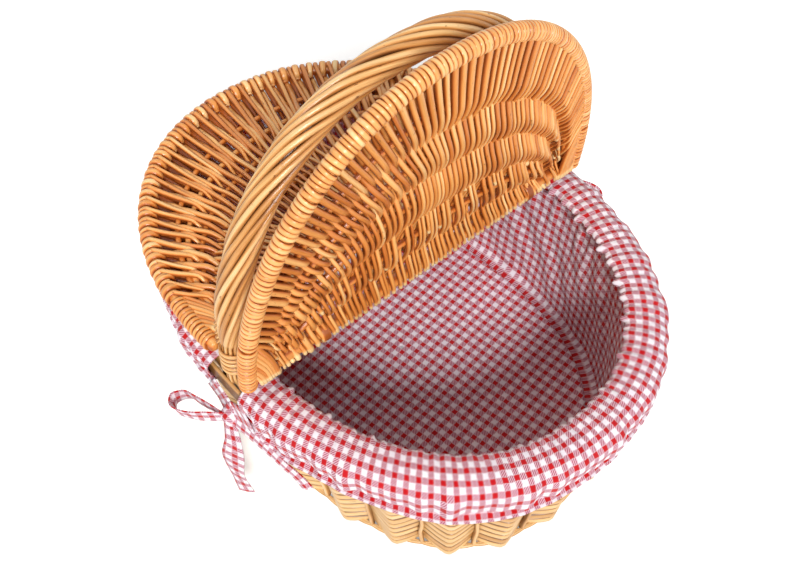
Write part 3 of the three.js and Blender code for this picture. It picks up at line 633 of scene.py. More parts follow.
# Base
def base_mat():
    mat = Strands()
    for k in range(MAT_RINGS):
        inward = MAT_START + MAT_PITCH * k
        steps = int(max(RIM_LENGTH * (1 - inward / MAT_END), 60) / MAT_POINT_SPACING)
        angle = 2 * math.pi * np.arange(steps) / steps
        half_length, half_width = FOOT_HALF_LENGTH - inward, FOOT_HALF_WIDTH - inward
        last = half_width <= MAT_LAST_HALF_WIDTH
        wave = 0 if last else MAT_WAVE * np.sin(angle * MAT_WAVE_COUNT + math.pi * k)
        line = stacked(*oval(half_length, half_width, FOOT_POWER, angle), MAT_HEIGHT + wave)
        mat.strand(line, MAT_LAST_RADIUS if last else MAT_ROD_RADIUS, UP, section=8, joined=True)
    mat.piece("base_mat_weave", pale_willow, "base_mat")


def base_sticks():
    sticks = Strands()
    half_length, half_width = FOOT_HALF_LENGTH - STICK_END_GAP, FOOT_HALF_WIDTH - STICK_END_GAP
    long_ways = (LONG_STICK_PLACES, half_length, half_width, (1, 0))
    short_ways = (SHORT_STICK_PLACES, half_width, half_length, (0, 1))
    for places, half_along, half_across, (x, y) in (long_ways, short_ways):
        for place in places:
            reach = half_along * (1 - abs(place / half_across) ** FOOT_POWER) ** (1 / FOOT_POWER)
            ends = [(x * end + y * place, y * end + x * place, STICK_HEIGHT) for end in (-reach, reach)]
            sticks.strand(resampled(ends, 8), STICK_RADIUS, UP)
    sticks.piece("base_stick_rods", pale_willow, "base_sticks")


def foot_ring():
    """Three rods laid round each other like a rope."""
    ring = Strands()
    share = np.arange(620) / 620
    for k in range(3):
        angle = 2 * math.pi * (FOOT_RING_TURNS * share + k / 3)
        height = FOOT_RING_HEIGHT + FOOT_RING_RISE * np.sin(angle)
        line = around_wall(share, height, FOOT_RING_OFFSET + FOOT_RING_SWING * np.cos(angle))
        ring.strand(line, FOOT_RING_RADIUS, UP, joined=True)
    ring.piece("foot_ring_rope", pale_willow, "foot_ring")


# Side
def side_stakes():
    """The twisted row that holds the stakes at the foot, and the stakes."""
    stakes = Strands()
    share = np.arange(480) / 480
    for k in range(2):
        swing = UPSET_SWING * np.cos(math.pi * (STAKE_COUNT * share + k))
        stakes.strand(around_wall(share, UPSET_BOTTOM + 1.3, swing), UPSET_RADIUS, UP, joined=True)
    heights = np.linspace(UPSET_BOTTOM + 1, STAKE_TOP - 0.4, 28)
    sizes = stacked(STAKE_HALF_DEPTH, STAKE_HALF_WIDTH * (1 - 0.12 * heights / STAKE_TOP))
    for i in range(STAKE_COUNT):
        place = (i + 0.5) / STAKE_COUNT
        sway = 0.0004 * waves(heights / 90, 0, (1, 2, 3), 50 + i)
        line = around_wall(place + sway, heights, -STAKE_OFFSET * (-1) ** i)
        stakes.strand(line, sizes, outward(place), section=slab_section(14, 2.8))
    stakes.piece("side_stake_rods", pale_willow, "side_stakes")


def zigzag(share):
    """From -1 to 1 and back between stakes, straight between them and rounded at each."""
    phase = (share * STAKE_COUNT - 0.5) / 2
    triangle = 1 - 4 * np.abs((phase % 1) - 0.5)
    return -np.clip(1.16 * triangle, -1, 1) * (1 - 0.04 * np.cos(4 * math.pi * phase))


def side_weave():
    """Rows of flat strips, each of three lengths whose ends lap behind a stake."""
    weave = Strands()
    section = slab_section(16, 3.2)
    # Painted shade along each strip's top and bottom edges, for dark lines between the rows.
    shade = painted_edge_shade(section, 0, 0.55, 0.97)
    for row in range(int((STAKE_TOP - WEAVE_BOTTOM) / STRIP_PITCH) + 1):
        bottom = WEAVE_BOTTOM + 0.4 + STRIP_PITCH * row
        top = min(bottom + STRIP_WIDTH, STAKE_TOP - 0.2)
        start = (row * 7 + 3) / STAKE_COUNT
        for part in range(3):
            low = start + part / 3 - 0.35 / STAKE_COUNT
            high = start + (part + 1) / 3 - 0.1 / STAKE_COUNT
            share = np.linspace(low, high, 224)
            sag = 0.35 * waves(share, 0, (5, 9, 14), 100 + row)
            sag = sag + 0.15 * waves(share, 0, (31, 47), 140 + row)
            half = (top - bottom) / 2 * (1 + 0.03 * waves(share, 0, (7, 16), 180 + row))
            line = around_wall(share, (top + bottom) / 2 + sag, -zigzag(share) * STRIP_SWING)
            sizes = stacked(half, STRIP_THICKNESS / 2)
            weave.strand(line, sizes, UP, tone=rng.uniform(0.1, 0.9), section=section, shade=shade)
    weave.piece("side_weave_strips", pale_willow, "side_weave")


# Rim
def hoop(name, middle):
    """A flat band round the wall, with the offset of its middle."""
    band = Strands()
    share = np.arange(360) / 360
    height = (HOOP_BOTTOM + BODY_HEIGHT) / 2 + 0.25 * waves(share, 0, (3, 8), 7)
    sizes = [[(BODY_HEIGHT - HOOP_BOTTOM) / 2 - 0.3, HOOP_THICKNESS / 2]]
    band.strand(around_wall(share, height, middle), sizes, UP, section=slab_section(20), joined=True)
    band.piece(f"{name}_band", pale_willow, name)


def rim_cap(name, middle):
    """The rod that fills the rim between both hoops on one half, with the share at its middle."""
    cap = Strands()
    reach = 0.25 - CAP_END_GAP / RIM_LENGTH
    share = np.linspace(middle - reach, middle + reach, 120)
    radius = CAP_RADIUS * (0.96 + 0.03 * waves(share, 0, (9, 17), 12))
    cap.strand(around_wall(share, CAP_HEIGHT), radius, UP, section=14)
    cap.piece(f"{name}_rod", pale_willow, name)


# Handle
def handle_line():
    """The handle's middle line from the near foot to the far one: an arch on two short legs."""
    turn = np.linspace(0, math.pi, 1600)
    rise = HANDLE_RISE * rounded(np.maximum(np.sin(turn), 0), HANDLE_POWER)
    across = -wall_half_width(HANDLE_SPRING_HEIGHT) * rounded(np.cos(turn), HANDLE_POWER)
    arch = stacked(-rise * math.tan(HANDLE_LEAN), across, HANDLE_SPRING_HEIGHT + rise)
    foot = wall_half_width(HANDLE_FOOT_HEIGHT)
    return np.concatenate([[(0, -foot, HANDLE_FOOT_HEIGHT)], arch, [(0, foot, HANDLE_FOOT_HEIGHT)]])


handle_path = handle_line()
handle_run = lengths(handle_path)
HANDLE_LENGTH = handle_run[-1]
BINDING_PITCH = BINDING_WIDTH + BINDING_GAP
BOUND_LENGTH = BINDING_START + BINDING_TURNS * BINDING_PITCH + BINDING_WIDTH


def handle_frame(length):
    """Middle points at lengths from the near foot, with two directions across the handle."""
    behind, here, ahead = [at_lengths(handle_path, handle_run, length + step) for step in (-1, 0, 1)]
    along = unit(ahead - behind)
    sideways = square_to(np.array([math.cos(HANDLE_LEAN), 0, math.sin(HANDLE_LEAN)]), along)
    return here, sideways, np.cross(along, sideways)


def off_handle(length, radius, angle):
    middle, sideways, in_plane = handle_frame(length)
    radius, angle = np.reshape(radius, (-1, 1)), np.reshape(angle, (-1, 1))
    return middle + radius * (sideways * np.cos(angle) + in_plane * np.sin(angle))


def swell(length, reach=SWELL_LENGTH):
    """0 at both bound feet and 1 along the handle's thick part."""
    from_foot = np.minimum(length, HANDLE_LENGTH - length)
    return smoothstep(from_foot, BOUND_LENGTH, BOUND_LENGTH + reach)


def handle_rods():
    """The rods that lie twisted round the core, straight at both feet."""
    foot_part = np.linspace(0, BOUND_LENGTH + 30, 60, endpoint=False)
    middle = np.linspace(BOUND_LENGTH + 30, HANDLE_LENGTH - BOUND_LENGTH - 30, 250)
    length = np.concatenate([foot_part, middle, HANDLE_LENGTH - foot_part[::-1]])
    twisted = np.clip(length, BOUND_LENGTH, HANDLE_LENGTH - BOUND_LENGTH) - BOUND_LENGTH
    twist = 2 * math.pi * twisted / TWIST_PITCH
    share, full = length / HANDLE_LENGTH, swell(length)
    for i in range(HANDLE_RODS):
        rod = Strands()
        lift = 0.22 * waves(share, 0, (2, 5, 9), 300 + i)
        radius = between(FOOT_TWIST_RADIUS, TWIST_RADIUS + lift, full)
        uneven = 1 + 0.05 * waves(share, 0, (3, 7, 15), 340 + i) * full
        thick = between(ROD_TIP_RADIUS, ROD_RADIUS, swell(length, 5)) * uneven
        stray = 0.03 * waves(share, 0, (3, 6, 11), 380 + i) * full
        line = off_handle(length, radius, 2 * math.pi * (i + 0.5) / HANDLE_RODS + twist + stray)
        outwards = line - handle_frame(length)[0]
        rod.strand(line, thick, outwards, tone=rng.uniform(0.15, 0.97), section=14)
        rod.piece(f"handle_strand_{i + 1:02d}", handle_willow, f"handle_rod_{i + 1:02d}")


def handle_core():
    """The stout rod inside, painted nearly black as shade, which shows only as darkness between the others.
    """
    core = Strands()
    length = np.linspace(0, HANDLE_LENGTH, 160)
    middle, sideways, _ = handle_frame(length)
    radius = between(CORE_FOOT_RADIUS, CORE_RADIUS, swell(length))
    core.strand(middle, radius, sideways, tone=0.0, section=16, shade=0.1)
    core.piece("handle_core_rod", handle_willow, "handle_core")


def binding_tail(binding):
    """The end of the near binding: two thin skeins twisted together, up the west side of the handle."""
    length = np.linspace(BOUND_LENGTH - 5, BOUND_LENGTH + TAIL_LENGTH, 50)
    middle = off_handle(length, TAIL_RADIUS + 0.02 * (length - BOUND_LENGTH), TAIL_ANGLE)
    _, sideways, in_plane = handle_frame(length)
    for k in range(2):
        turn = (2 * math.pi * length / TAIL_PITCH + math.pi * k)[:, None]
        line = middle + 1.15 * (np.cos(turn) * sideways + np.sin(turn) * in_plane)
        binding.strand(line, 1.05, sideways, tone=0.85)


def handle_binding(name, side):
    """A skein wound round the rods at one foot."""
    binding = Strands()
    turn = np.arange(40 * BINDING_TURNS + 1) / 40
    climb = BINDING_START + BINDING_WIDTH / 2 + BINDING_PITCH * turn
    length = climb if side < 0 else HANDLE_LENGTH - climb
    radius = FOOT_TWIST_RADIUS + ROD_TIP_RADIUS + 0.3 + BINDING_THICKNESS / 2
    line = off_handle(length, radius, side * 2 * math.pi * turn)
    sizes = [[BINDING_THICKNESS / 2 + 0.2, BINDING_WIDTH / 2]]
    binding.strand(line, sizes, line - handle_frame(length)[0], tone=0.75, section=14)
    if side < 0:
        binding_tail(binding)
    binding.piece(f"{name}_skein", handle_willow, name)


# Hinges
def cross_bar():
    bar = Strands()
    line = resampled([(0, -CROSS_BAR_REACH, HINGE_HEIGHT), (0, CROSS_BAR_REACH, HINGE_HEIGHT)], 5)
    radius = HINGE_ROD_RADIUS * (0.95 + 0.04 * waves(line[:, 1] / (2 * RIM_HALF_WIDTH), 0, (2, 5, 9), 21))
    bar.strand(line, radius, UP, section=16)
    bar.piece("cross_bar_rod", pale_willow, "cross_bar")


def hinge_loop(name, side, place):
    """A skein that holds a lid's edge rod to the cross bar: two half circles and what joins them."""
    loop = Strands()
    radius = HINGE_ROD_RADIUS + 0.3 + LOOP_THICKNESS / 2
    half_turn = np.linspace(0, math.pi, 15)
    line = []
    for end in (0, 1):
        angle = math.pi / 2 + math.pi * end + half_turn
        x = side * (HINGE_OFFSET * end + radius * np.cos(angle))
        line.append(stacked(x, place, HINGE_HEIGHT + radius * np.sin(angle)))
    line = resampled(np.concatenate([*line, line[0][:1]]), 1.6)[:-1]
    sizes = [[LOOP_WIDTH / 2, LOOP_THICKNESS / 2]]
    loop.strand(line, sizes, (0, 1, 0), section=slab_section(12), joined=True)
    loop.piece(f"{name}_skein", honey_willow, name)


# Lids
class LidStrands(Strands):
    """Strands in a lid's own frame: u runs out from the hinge, v along it and w to the lid's outside."""

    def __init__(self, lid, side, turn):
        super().__init__()
        self.lid = lid
        self.origin = np.array([side * HINGE_OFFSET, 0, HINGE_HEIGHT])
        u_axis = (side * math.cos(turn), 0, math.sin(turn))
        w_axis = (-side * math.sin(turn), 0, math.cos(turn))
        self.axes = np.array([u_axis, (0, 1, 0), w_axis])

    def strand(self, centres, sizes, reference=UP, **settings):
        super().strand(self.origin + centres @ self.axes, sizes, reference @ self.axes, **settings)

    def lid_piece(self, name, node):
        self.piece(f"{self.lid}_{name}", honey_willow, f"{self.lid}_{node}", self.lid)


def lid_outline(depth, half_width, count):
    """A lid's rounded edge from one corner to the other, as evenly spaced points."""
    line = stacked(*oval(depth, half_width, LID_POWER, np.linspace(-math.pi / 2, math.pi / 2, 1500)), 0)
    run = lengths(line)
    return at_lengths(line, run, np.linspace(0, run[-1], count))


def rim_with_tails(count):
    """The rim's rod: the outline, and a short straight tail past each corner."""
    tails = [[(-LID_RIM_TAIL, end * LID_HALF_WIDTH, 0)] for end in (-1, 1)]
    return np.concatenate([tails[0], lid_outline(LID_DEPTH, LID_HALF_WIDTH, count), tails[1]])


def inside_bend(plan, depth, half_width):
    """Which points of a rod's line lie inside the curve of a rib."""
    return (np.abs(plan[:, 0]) / depth) ** LID_POWER + (np.abs(plan[:, 1]) / half_width) ** LID_POWER < 1


def rib_places(plan):
    """Lengths along a rod's line at which it crosses each rib, outermost first."""
    run = lengths(plan)
    bends = [inside_bend(plan, *size) for size in reversed(RIB_SIZES)]
    return [float(run[np.argmax(bend)]) for bend in bends if bend.any() and not bend[0]]


def eased(run, knots, values):
    """Values that change along a length as smoothly as a bent rod does."""
    knots, values = np.asarray(knots), np.asarray(values)
    k = np.clip(np.searchsorted(knots, run, side="right") - 1, 0, len(knots) - 2)
    t = np.clip((run - knots[k]) / np.maximum(knots[k + 1] - knots[k], 1e-6), 0, 1)
    return values[k] + (values[k + 1] - values[k]) * (1 - np.cos(math.pi * t)) / 2


def lid_arm(plan, heights, sideways):
    """A rod's line across the lid: its plan, lifted and shifted at lengths from the rim."""
    run = lengths(plan)
    flow = tangents(plan)
    across = stacked(flow[:, 1], -flow[:, 0], 0)
    return plan + across * eased(run, *zip(*sideways))[:, None] + UP * eased(run, *zip(*heights))[:, None]


def woven_arm(plan, crossings, side, lift, shift, heights, sideways=()):
    """A rod's line that goes over one rib and under the next, and to and fro between them."""
    end = lengths(plan)[-1]
    heights, sideways = list(heights), [(0, 0.0), *sideways]
    for crossing, ahead in zip(crossings, [*crossings[1:], end - 2]):
        heights.append((crossing, RIB_HEIGHT + side * lift))
        sideways.append(((crossing + ahead) / 2, shift))
        side, shift = -side, -shift
    heights.append((end, side * (EDGE_RADIUS + EDGE_GAP)))
    sideways.append((end, 0.0))
    return lid_arm(plan, heights, sideways)


class RimPlaces:
    """Points along a lid's rim where its rods leave it, at pitches that differ by a share, the jitter."""

    def __init__(self, count, jitter):
        self.outline = lid_outline(LID_DEPTH, LID_HALF_WIDTH, 2401)
        self.run = lengths(self.outline)
        woven = self.run[-1] - 2 * RIM_BOUND_END
        widths = rng.uniform(1 - jitter, 1 + jitter, count)
        edges = np.concatenate([[0], np.cumsum(widths)]) / widths.sum()
        self.places = RIM_BOUND_END + (edges[1:] + edges[:-1]) / 2 * woven
        self.pitches = np.diff(edges) * woven

    def point(self, place):
        return at_lengths(self.outline, self.run, place)

    def outwards(self, place):
        return np.cross(unit(self.point(place + 1) - self.point(place - 1)), UP)


def rod_plan(rim_point, slants, ends):
    """The line of one rod across the lid, from the rim to the straight edge."""
    u, v = rim_point[0], rim_point[1]
    slant = math.radians(np.interp(v, RIM_PLACES, slants))
    end_v = np.interp(v, RIM_PLACES, ends) + rng.uniform(-0.9, 0.9)
    middle_u = min(95, 0.55 * u)
    middle = (middle_u, v - (u - middle_u) * math.tan(slant), 0)
    plan = resampled([tuple(rim_point), middle, (EDGE_RADIUS * -0.6, end_v, 0)], 6)
    return resampled(softened(plan, 12), 2.2)


def narrowing(run, rim_v, ends):
    """How much thinner a rod must be along its line, where the rods run together."""
    gap = abs(np.interp(rim_v + 6, RIM_PLACES, ends) - np.interp(rim_v - 6, RIM_PLACES, ends)) / 12
    across_rim = math.sqrt(max(1 - (rim_v / LID_HALF_WIDTH) ** 2, 0.05))
    share = min(max(gap * across_rim, 0.5), 1.0)
    return between(1, share, (run / run[-1]) ** 0.8)


def cut_tones(tone, count):
    """One tone along a rod, and the pale wood of the cut at its end."""
    tones = np.full(count, tone)
    tones[-2:] = CUT_END_TONE
    return tones


def round_rim(centre, out, along, radius, angles, tilt):
    """Points round the rim's rod, in a plane that leans along it by a tilt."""
    rise = radius * np.sin(angles)[:, None]
    return centre + out * radius * np.cos(angles)[:, None] + UP * rise + along * tilt * rise


def wrap(weave, rim_point, rim_out, deep, across, tone, below_deg, above_deg):
    """The part of a rod that lies round the rim, from an angle below its outer side to one above."""
    angles = np.radians(np.linspace(-below_deg, above_deg, 24))
    tilt = rng.uniform(-0.1, 0.1)
    line = round_rim(rim_point, rim_out, np.cross(rim_out, UP), RIM_CORE_RADIUS + deep, angles, tilt)
    section = 12 if deep > 1.1 else slab_section(16, 2.6)
    weave.strand(line, [[deep, across]], line - rim_point, tone=tone, section=section)


def east_lid_rods():
    """The open lid's rods: each is folded over the rim, and both of its arms are woven in."""
    weave = LidStrands(*EAST_LID)
    rim = RimPlaces(EAST_RODS, 0.24)
    for i, (place, pitch) in enumerate(zip(rim.places, rim.pitches)):
        rim_point = rim.point(place)
        plan = rod_plan(rim_point, EAST_SLANTS, EAST_ENDS)
        run = lengths(plan)
        tone = rng.uniform(0.25, 0.92)
        for spot in (place - pitch / 4, place + pitch / 4):
            paleness = min(0.74 + 0.2 * tone + rng.uniform(-0.25, 0.1), 0.97)
            wrap(weave, rim.point(spot), rim.outwards(spot), 1.05, pitch / 4, paleness, FOLD_DEG, FOLD_DEG)
        thin = narrowing(run, rim_point[1], EAST_ENDS)
        slide = 1.5 + 1.7 * smoothstep(place / rim.run[-1], 0.45, 0.65)
        for face in (-1, 1):
            line = woven_arm(plan, rib_places(plan), face, EAST_LIFT, -slide * face, [(0, face * 3.0)])
            reach = 1.0 if face < 0 or i % 3 else rng.uniform(0.5, 0.85)
            kept = run <= reach * run[-1]
            size = rng.uniform(0.3, 0.365) * min(pitch, WIDEST_EAST_PITCH) * thin[kept]
            shown = np.clip(tone + rng.uniform(-0.15, 0.15), 0, 1)
            weave.strand(line[kept], size, tone=cut_tones(shown, kept.sum()))
    finish_weave(weave)


def west_lid_rods():
    """The closed lid's rods: in turn a straight one over the rim and a thick butt that starts inside it."""
    weave = LidStrands(*WEST_LID)
    rim = RimPlaces(WEST_RODS, 0.12)
    bow = lid_outline(BOW_DEPTH, BOW_HALF_WIDTH, 90)
    weave.strand(bow[bow[:, 0] > BOW_START] + UP * BOW_HEIGHT, BOW_RADIUS, tone=0.6, section=12)
    for i, (place, pitch) in enumerate(zip(rim.places, rim.pitches)):
        over = i % 2 == 0
        rim_point, rim_out = rim.point(place), rim.outwards(place)
        plan = rod_plan(rim_point, WEST_SLANTS, WEST_ENDS)
        plan = plan if over else plan[5:]
        run = lengths(plan)
        tone = rng.uniform(0.2, 0.9)
        at_bow = float(run[np.argmax(inside_bend(plan, BOW_DEPTH, BOW_HALF_WIDTH))])
        if over:
            wrap(weave, rim_point, rim_out, 1.2, 0.36 * pitch, tone, 120, 112)
            side, share, heights = -1, 0.36, [(0, 5.2), (at_bow * 0.55, 4.6)]
        else:
            wrap(weave, rim_point, rim_out, 1.5, 0.5 * pitch, min(tone + 0.1, 1), 178, 175)
            side, share, heights = 1, 0.45, [(0, -2.0), (at_bow * 0.55, 2.2)]
        crossings = [crossing for crossing in rib_places(plan) if crossing > at_bow + 6]
        push = 2.0 * ((i / 4) % 1 - 0.375) / 0.375
        shift = 0.9 * side + 0.5 * push
        heights.append((at_bow, OVER_BOW))
        line = woven_arm(plan, crossings, side, WEST_LIFT, shift, heights, [(at_bow, -push)])
        size = share * pitch * rng.uniform(0.9, 1.1) * narrowing(run, rim_point[1], WEST_ENDS)
        weave.strand(line, size, tone=cut_tones(tone, len(line)))
        under_arm(weave, rod_plan(rim_point, WEST_SLANTS, WEST_ENDS), pitch)
    finish_weave(weave)


def under_arm(weave, plan, pitch):
    """The arm that lies on the lid's lower face as far as the ribs, and then goes on between the others."""
    run = lengths(plan)
    heights = [(0, -UNDER_LIFT)]
    for k, crossing in enumerate(rib_places(plan)):
        heights.append((crossing, RIB_HEIGHT - (UNDER_LIFT, 0)[k % 2]))
    heights.append((run[-1], -EDGE_RADIUS - EDGE_GAP))
    line = lid_arm(plan, heights, [(0, 0.0), (run[-1], 0.0)])
    kept = run <= rng.uniform(0.75, 1.0) * run[-1]
    size = pitch * (0.26 + 0.2 * (1 - smoothstep(run[kept], 10, 45))) * (1 - 0.35 * run[kept] / run[-1])
    # Painted shade: the arms under the lid get dark tones and are darkened further, as if in the lid's
    # shadow.
    weave.strand(line[kept], size, tone=rng.uniform(0, 0.4), section=8, shade=0.3)


def corner_rods(weave):
    """Rods that fill both corners of the lid, from under the rim's binding to the straight edge."""
    rim = RimPlaces(10, 0)
    for end in (-1, 1):
        for k in range(CORNER_RODS):
            share = (k + 0.5) / CORNER_RODS
            place = 7 + (RIM_BOUND_END - 3) * share
            start = rim.point(place if end < 0 else rim.run[-1] - place) - np.array([0, end * 2, 0])
            finish = np.array([EDGE_RADIUS * -0.6, end * (LID_HALF_WIDTH - 6 - 15 * share), 0])
            middle = (start + finish) / 2 - np.array([2, end * 3, 0])
            plan = softened(resampled([start, middle, finish], 3), 4)
            for face in (-1, 1):
                line = plan + UP * np.linspace(2.4, EDGE_RADIUS + 1.4, len(plan))[:, None] * face
                tones = cut_tones(rng.uniform(0.2, 0.8), len(line))
                weave.strand(line, rng.uniform(1.5, 2.1), tone=tones)


def bind_rim_ends(weave):
    """Thin rods wound tightly round both ends of the rim."""
    line = rim_with_tails(2401)
    run = lengths(line)
    angles = np.linspace(0, 2 * math.pi, 30, endpoint=False)
    for from_start in (True, False):
        for k in range(int((RIM_BOUND_END + LID_RIM_TAIL - 3) / RIM_BOUND_PITCH)):
            place = 4.5 + RIM_BOUND_PITCH * k + rng.uniform(-0.25, 0.25)
            place = place if from_start else run[-1] - place
            here, ahead = at_lengths(line, run, place), at_lengths(line, run, place + 1)
            along = unit(ahead - here)
            tilt = rng.uniform(-0.1, 0.1)
            ring = round_rim(here, np.cross(along, UP), along, RIM_CORE_RADIUS + 1, angles, tilt)
            sizes = [[1.2, RIM_BOUND_PITCH * 0.46]]
            weave.strand(ring, sizes, ring - here, tone=rng.uniform(0.35, 0.85), joined=True)


def finish_weave(weave):
    corner_rods(weave)
    bind_rim_ends(weave)
    weave.lid_piece("weave_rods", "weave")


def lid_frame_rods(lid):
    """The rods that a lid is woven on: its rim, its straight edge and its ribs."""
    rim = LidStrands(*lid)
    rim.strand(rim_with_tails(240), RIM_CORE_RADIUS, tone=0.6, section=16)
    rim.lid_piece("rim_rod", "rim")
    edge = LidStrands(*lid)
    reach = LID_HALF_WIDTH - RIM_CORE_RADIUS - 1.5
    edge.strand(resampled([(0, -reach, 0), (0, reach, 0)], 5), EDGE_RADIUS, tone=0.5, section=16)
    edge.lid_piece("edge_rod", "edge")
    for i, (depth, half_width) in enumerate(RIB_SIZES):
        rib = LidStrands(*lid)
        line = lid_outline(depth, half_width, 90)
        line = line[line[:, 0] > RIB_START]
        line[:, 2] = RIB_HEIGHT
        rib.strand(line, RIB_RADIUS, tone=0.3)
        rib.lid_piece(f"rib_rod_{i + 1}", f"rib_{i + 1}")


# Lining
class Cloth:
    """Grids of points gathered into one mesh, with the cloth's own coordinates."""

    def __init__(self):
        self.points, self.wefts, self.faces, self.count = [], [], [], 0

    def grid(self, points, weft, joined=False):
        rows, across = points.shape[:2]
        index = self.count + np.arange(rows * across).reshape(rows, across)
        here = index if joined else index[:, :-1]
        beside = np.roll(index, -1, axis=1) if joined else index[:, 1:]
        self.faces.append(np.stack([here[:-1], beside[:-1], beside[1:], here[1:]], axis=-1).reshape(-1, 4))
        self.points.append(points.reshape(-1, 3))
        self.wefts.append(stacked(weft[..., 0], weft[..., 1], 0).reshape(-1, 3))
        self.count += rows * across

    def piece(self, name, node):
        mesh = bpy.data.meshes.new(name)
        points = np.concatenate(self.points) * MM
        mesh.from_pydata(points.tolist(), [], np.concatenate(self.faces).tolist())
        mesh.validate()
        mesh.shade_smooth()
        give_attribute(mesh, "weft", "FLOAT_VECTOR", "vector", self.wefts)
        piece = add_piece(name, mesh, gingham, node, "root")
        solid = piece.modifiers.new("cloth_thickness", "SOLIDIFY")
        solid.thickness = CLOTH_THICKNESS * MM
        solid.offset = 0
        return piece


def bag_side(bag, share):
    """The strip inside the wall, soft in the middle, gathered at the top and turned in at the floor."""
    heights = np.linspace(BAG_FLOOR, BODY_HEIGHT - 1, 44)[:, None]
    climb = (heights - BAG_FLOOR) / (BODY_HEIGHT - BAG_FLOOR)
    base = between(BAG_LOW_OFFSET, BAG_HIGH_OFFSET, smoothstep(heights, 20, HOOP_BOTTOM))
    below = np.maximum(1 - (heights - BAG_FLOOR) / BAG_CORNER, 0)
    corner = BAG_CORNER * (1 - np.sqrt(1 - below**2))
    soft = 1.4 + 1.0 * waves(share, climb * 3, (3, 5, 8, 12), 401)
    soft = soft + 0.7 * waves(share, climb * 4, (17, 25, 34), 402, 4)
    gather = 0.8 * waves(share, climb * 2, (44, 61, 73, 90), 403, 2) * smoothstep(climb, 0.55, 1)
    inward = np.maximum(soft * np.sin(math.pi * climb) ** 0.6, 0) + np.maximum(gather, -0.2)
    bag.grid(around_wall(share, heights, base - corner - inward), stacked(share * BAG_GIRTH, heights))


def bag_floor(bag, share):
    """The oval on the base, with shallow ripples."""
    edge = around_wall(share, BAG_FLOOR, BAG_LOW_OFFSET - BAG_CORNER)
    shrink = np.linspace(1, 0.002, 48)[:, None]
    x, y = edge[..., 0] * shrink, edge[..., 1] * shrink
    ripple = 0.5 * np.sin(x / 23 + y / 31) + 0.45 * np.sin(x / 17 - y / 20 + 1)
    ripple = ripple + 0.3 * np.sin(x / 9 + y / 13 + 2)
    z = BAG_FLOOR + (ripple + 0.7) * (1 - shrink**6) * 0.9
    cosine, sine = math.cos(BAG_TURN), math.sin(BAG_TURN)
    bag.grid(stacked(x, y, z), stacked(x * cosine + y * sine, y * cosine - x * sine))


def lining_bag():
    bag = Cloth()
    share = np.linspace(0, 1, 621)[None, :]
    bag_side(bag, share)
    bag_floor(bag, share)
    piece = bag.piece("lining_bag_cloth", "lining_bag")


def lining_flap(name, middle):
    """The lining's edge on one half, folded over the rim and gathered. middle is the share there."""
    flap = Cloth()
    reach = 0.25 - FLAP_END_GAP / RIM_LENGTH
    seed = 500 + int(middle * 2)
    share = np.linspace(middle - reach, middle + reach, 520)[None, :]
    along = np.linspace(0, 1, 520)[None, :]
    profile = smooth_curve(FLAP_PROFILE, 9)
    run = lengths(profile)[:, None]
    t = run / run[-1]
    ends = smoothstep(along, 0, 0.03) * (1 - smoothstep(along, 0.97, 1))
    folds = FOLD_DEPTH * (0.5 - 0.5 * np.cos(2 * math.pi * FLAP_FOLDS * along)) * smoothstep(t, 0.3, 1)
    folds = (folds + 1.1 * waves(along, t, (14, 23, 31), seed + 1, 3) * smoothstep(t, 0.25, 0.9)) * ends
    pucker = 1.15 * waves(along, t * 2, (29, 43, 57, 71), seed + 11, 4)
    pucker = pucker * np.exp(-(((t - 0.22) / 0.2) ** 2)) * (1 + 0.9 * smoothstep(along, 0.5, 0.75))
    pucker = np.maximum(pucker, -0.6) * ends
    slope = np.gradient(profile, axis=0)
    normal = unit(stacked(-slope[:, 1], slope[:, 0]))
    offset = profile[:, :1] + normal[:, :1] * (folds + pucker)
    height = profile[:, 1:] + normal[:, 1:] * (folds * 0.6 + np.minimum(pucker, 0.3) * 0.8)
    west_drop = WEST_HEM_DROP + 2.0 * waves(along, 0, (2, 5), 530)
    drop = np.interp(share, HEM_PLACES, HEM_DROPS) if middle == 0 else west_drop
    height = height - drop * smoothstep(t, 0.5, 1) * ends
    flap.grid(around_wall(share, height, offset), stacked(along * 2 * reach * RIM_LENGTH * GATHER, run))
    piece = flap.piece(f"{name}_cloth", name)


# Ties
def ribbon(bow, route, across, flip, widths, wave=0.0):
    """Adds a strip of cloth along a route from the knot. widths are shares of the tie's width along it."""
    line = softened(smooth_curve(KNOT + np.array(route, float), 12), 2)
    run = lengths(line)[:, None]
    share = np.linspace(0, 1, len(line))
    half = TIE_WIDTH / 2 * np.interp(share, np.linspace(0, 1, len(widths)), widths)[:, None]
    place = np.linspace(-1, 1, 9)[None, :]
    first, second = frames(line, across)
    lift = 0.9 * (1 - place**2) * (1.6 - half / TIE_WIDTH * 2) + wave * place * np.sin(run / 7)
    points = line[:, None] + first[:, None] * (place * half)[..., None] + second[:, None] * lift[..., None]
    bow.grid(points * flip, stacked(run, place * TIE_WIDTH / 2) + rng.uniform(0, 8, 2))


def knot(bow, flip):
    """A short barrel of cloth, closed at both ends."""
    half_length, half_depth, half_height = KNOT_HALF_SIZES
    across = np.linspace(-1, 1, 11)[:, None]
    angle = np.linspace(0, 2 * math.pi, 24, endpoint=False)[None, :]
    bulge = np.sqrt(1.04 - across**2)
    x, deep = half_length * across, half_depth * bulge * np.cos(angle)
    points = KNOT + stacked(x, deep, half_height * bulge * np.sin(angle))
    bow.grid(points * flip, stacked(KNOT[0] + x, angle * 5.3), joined=True)


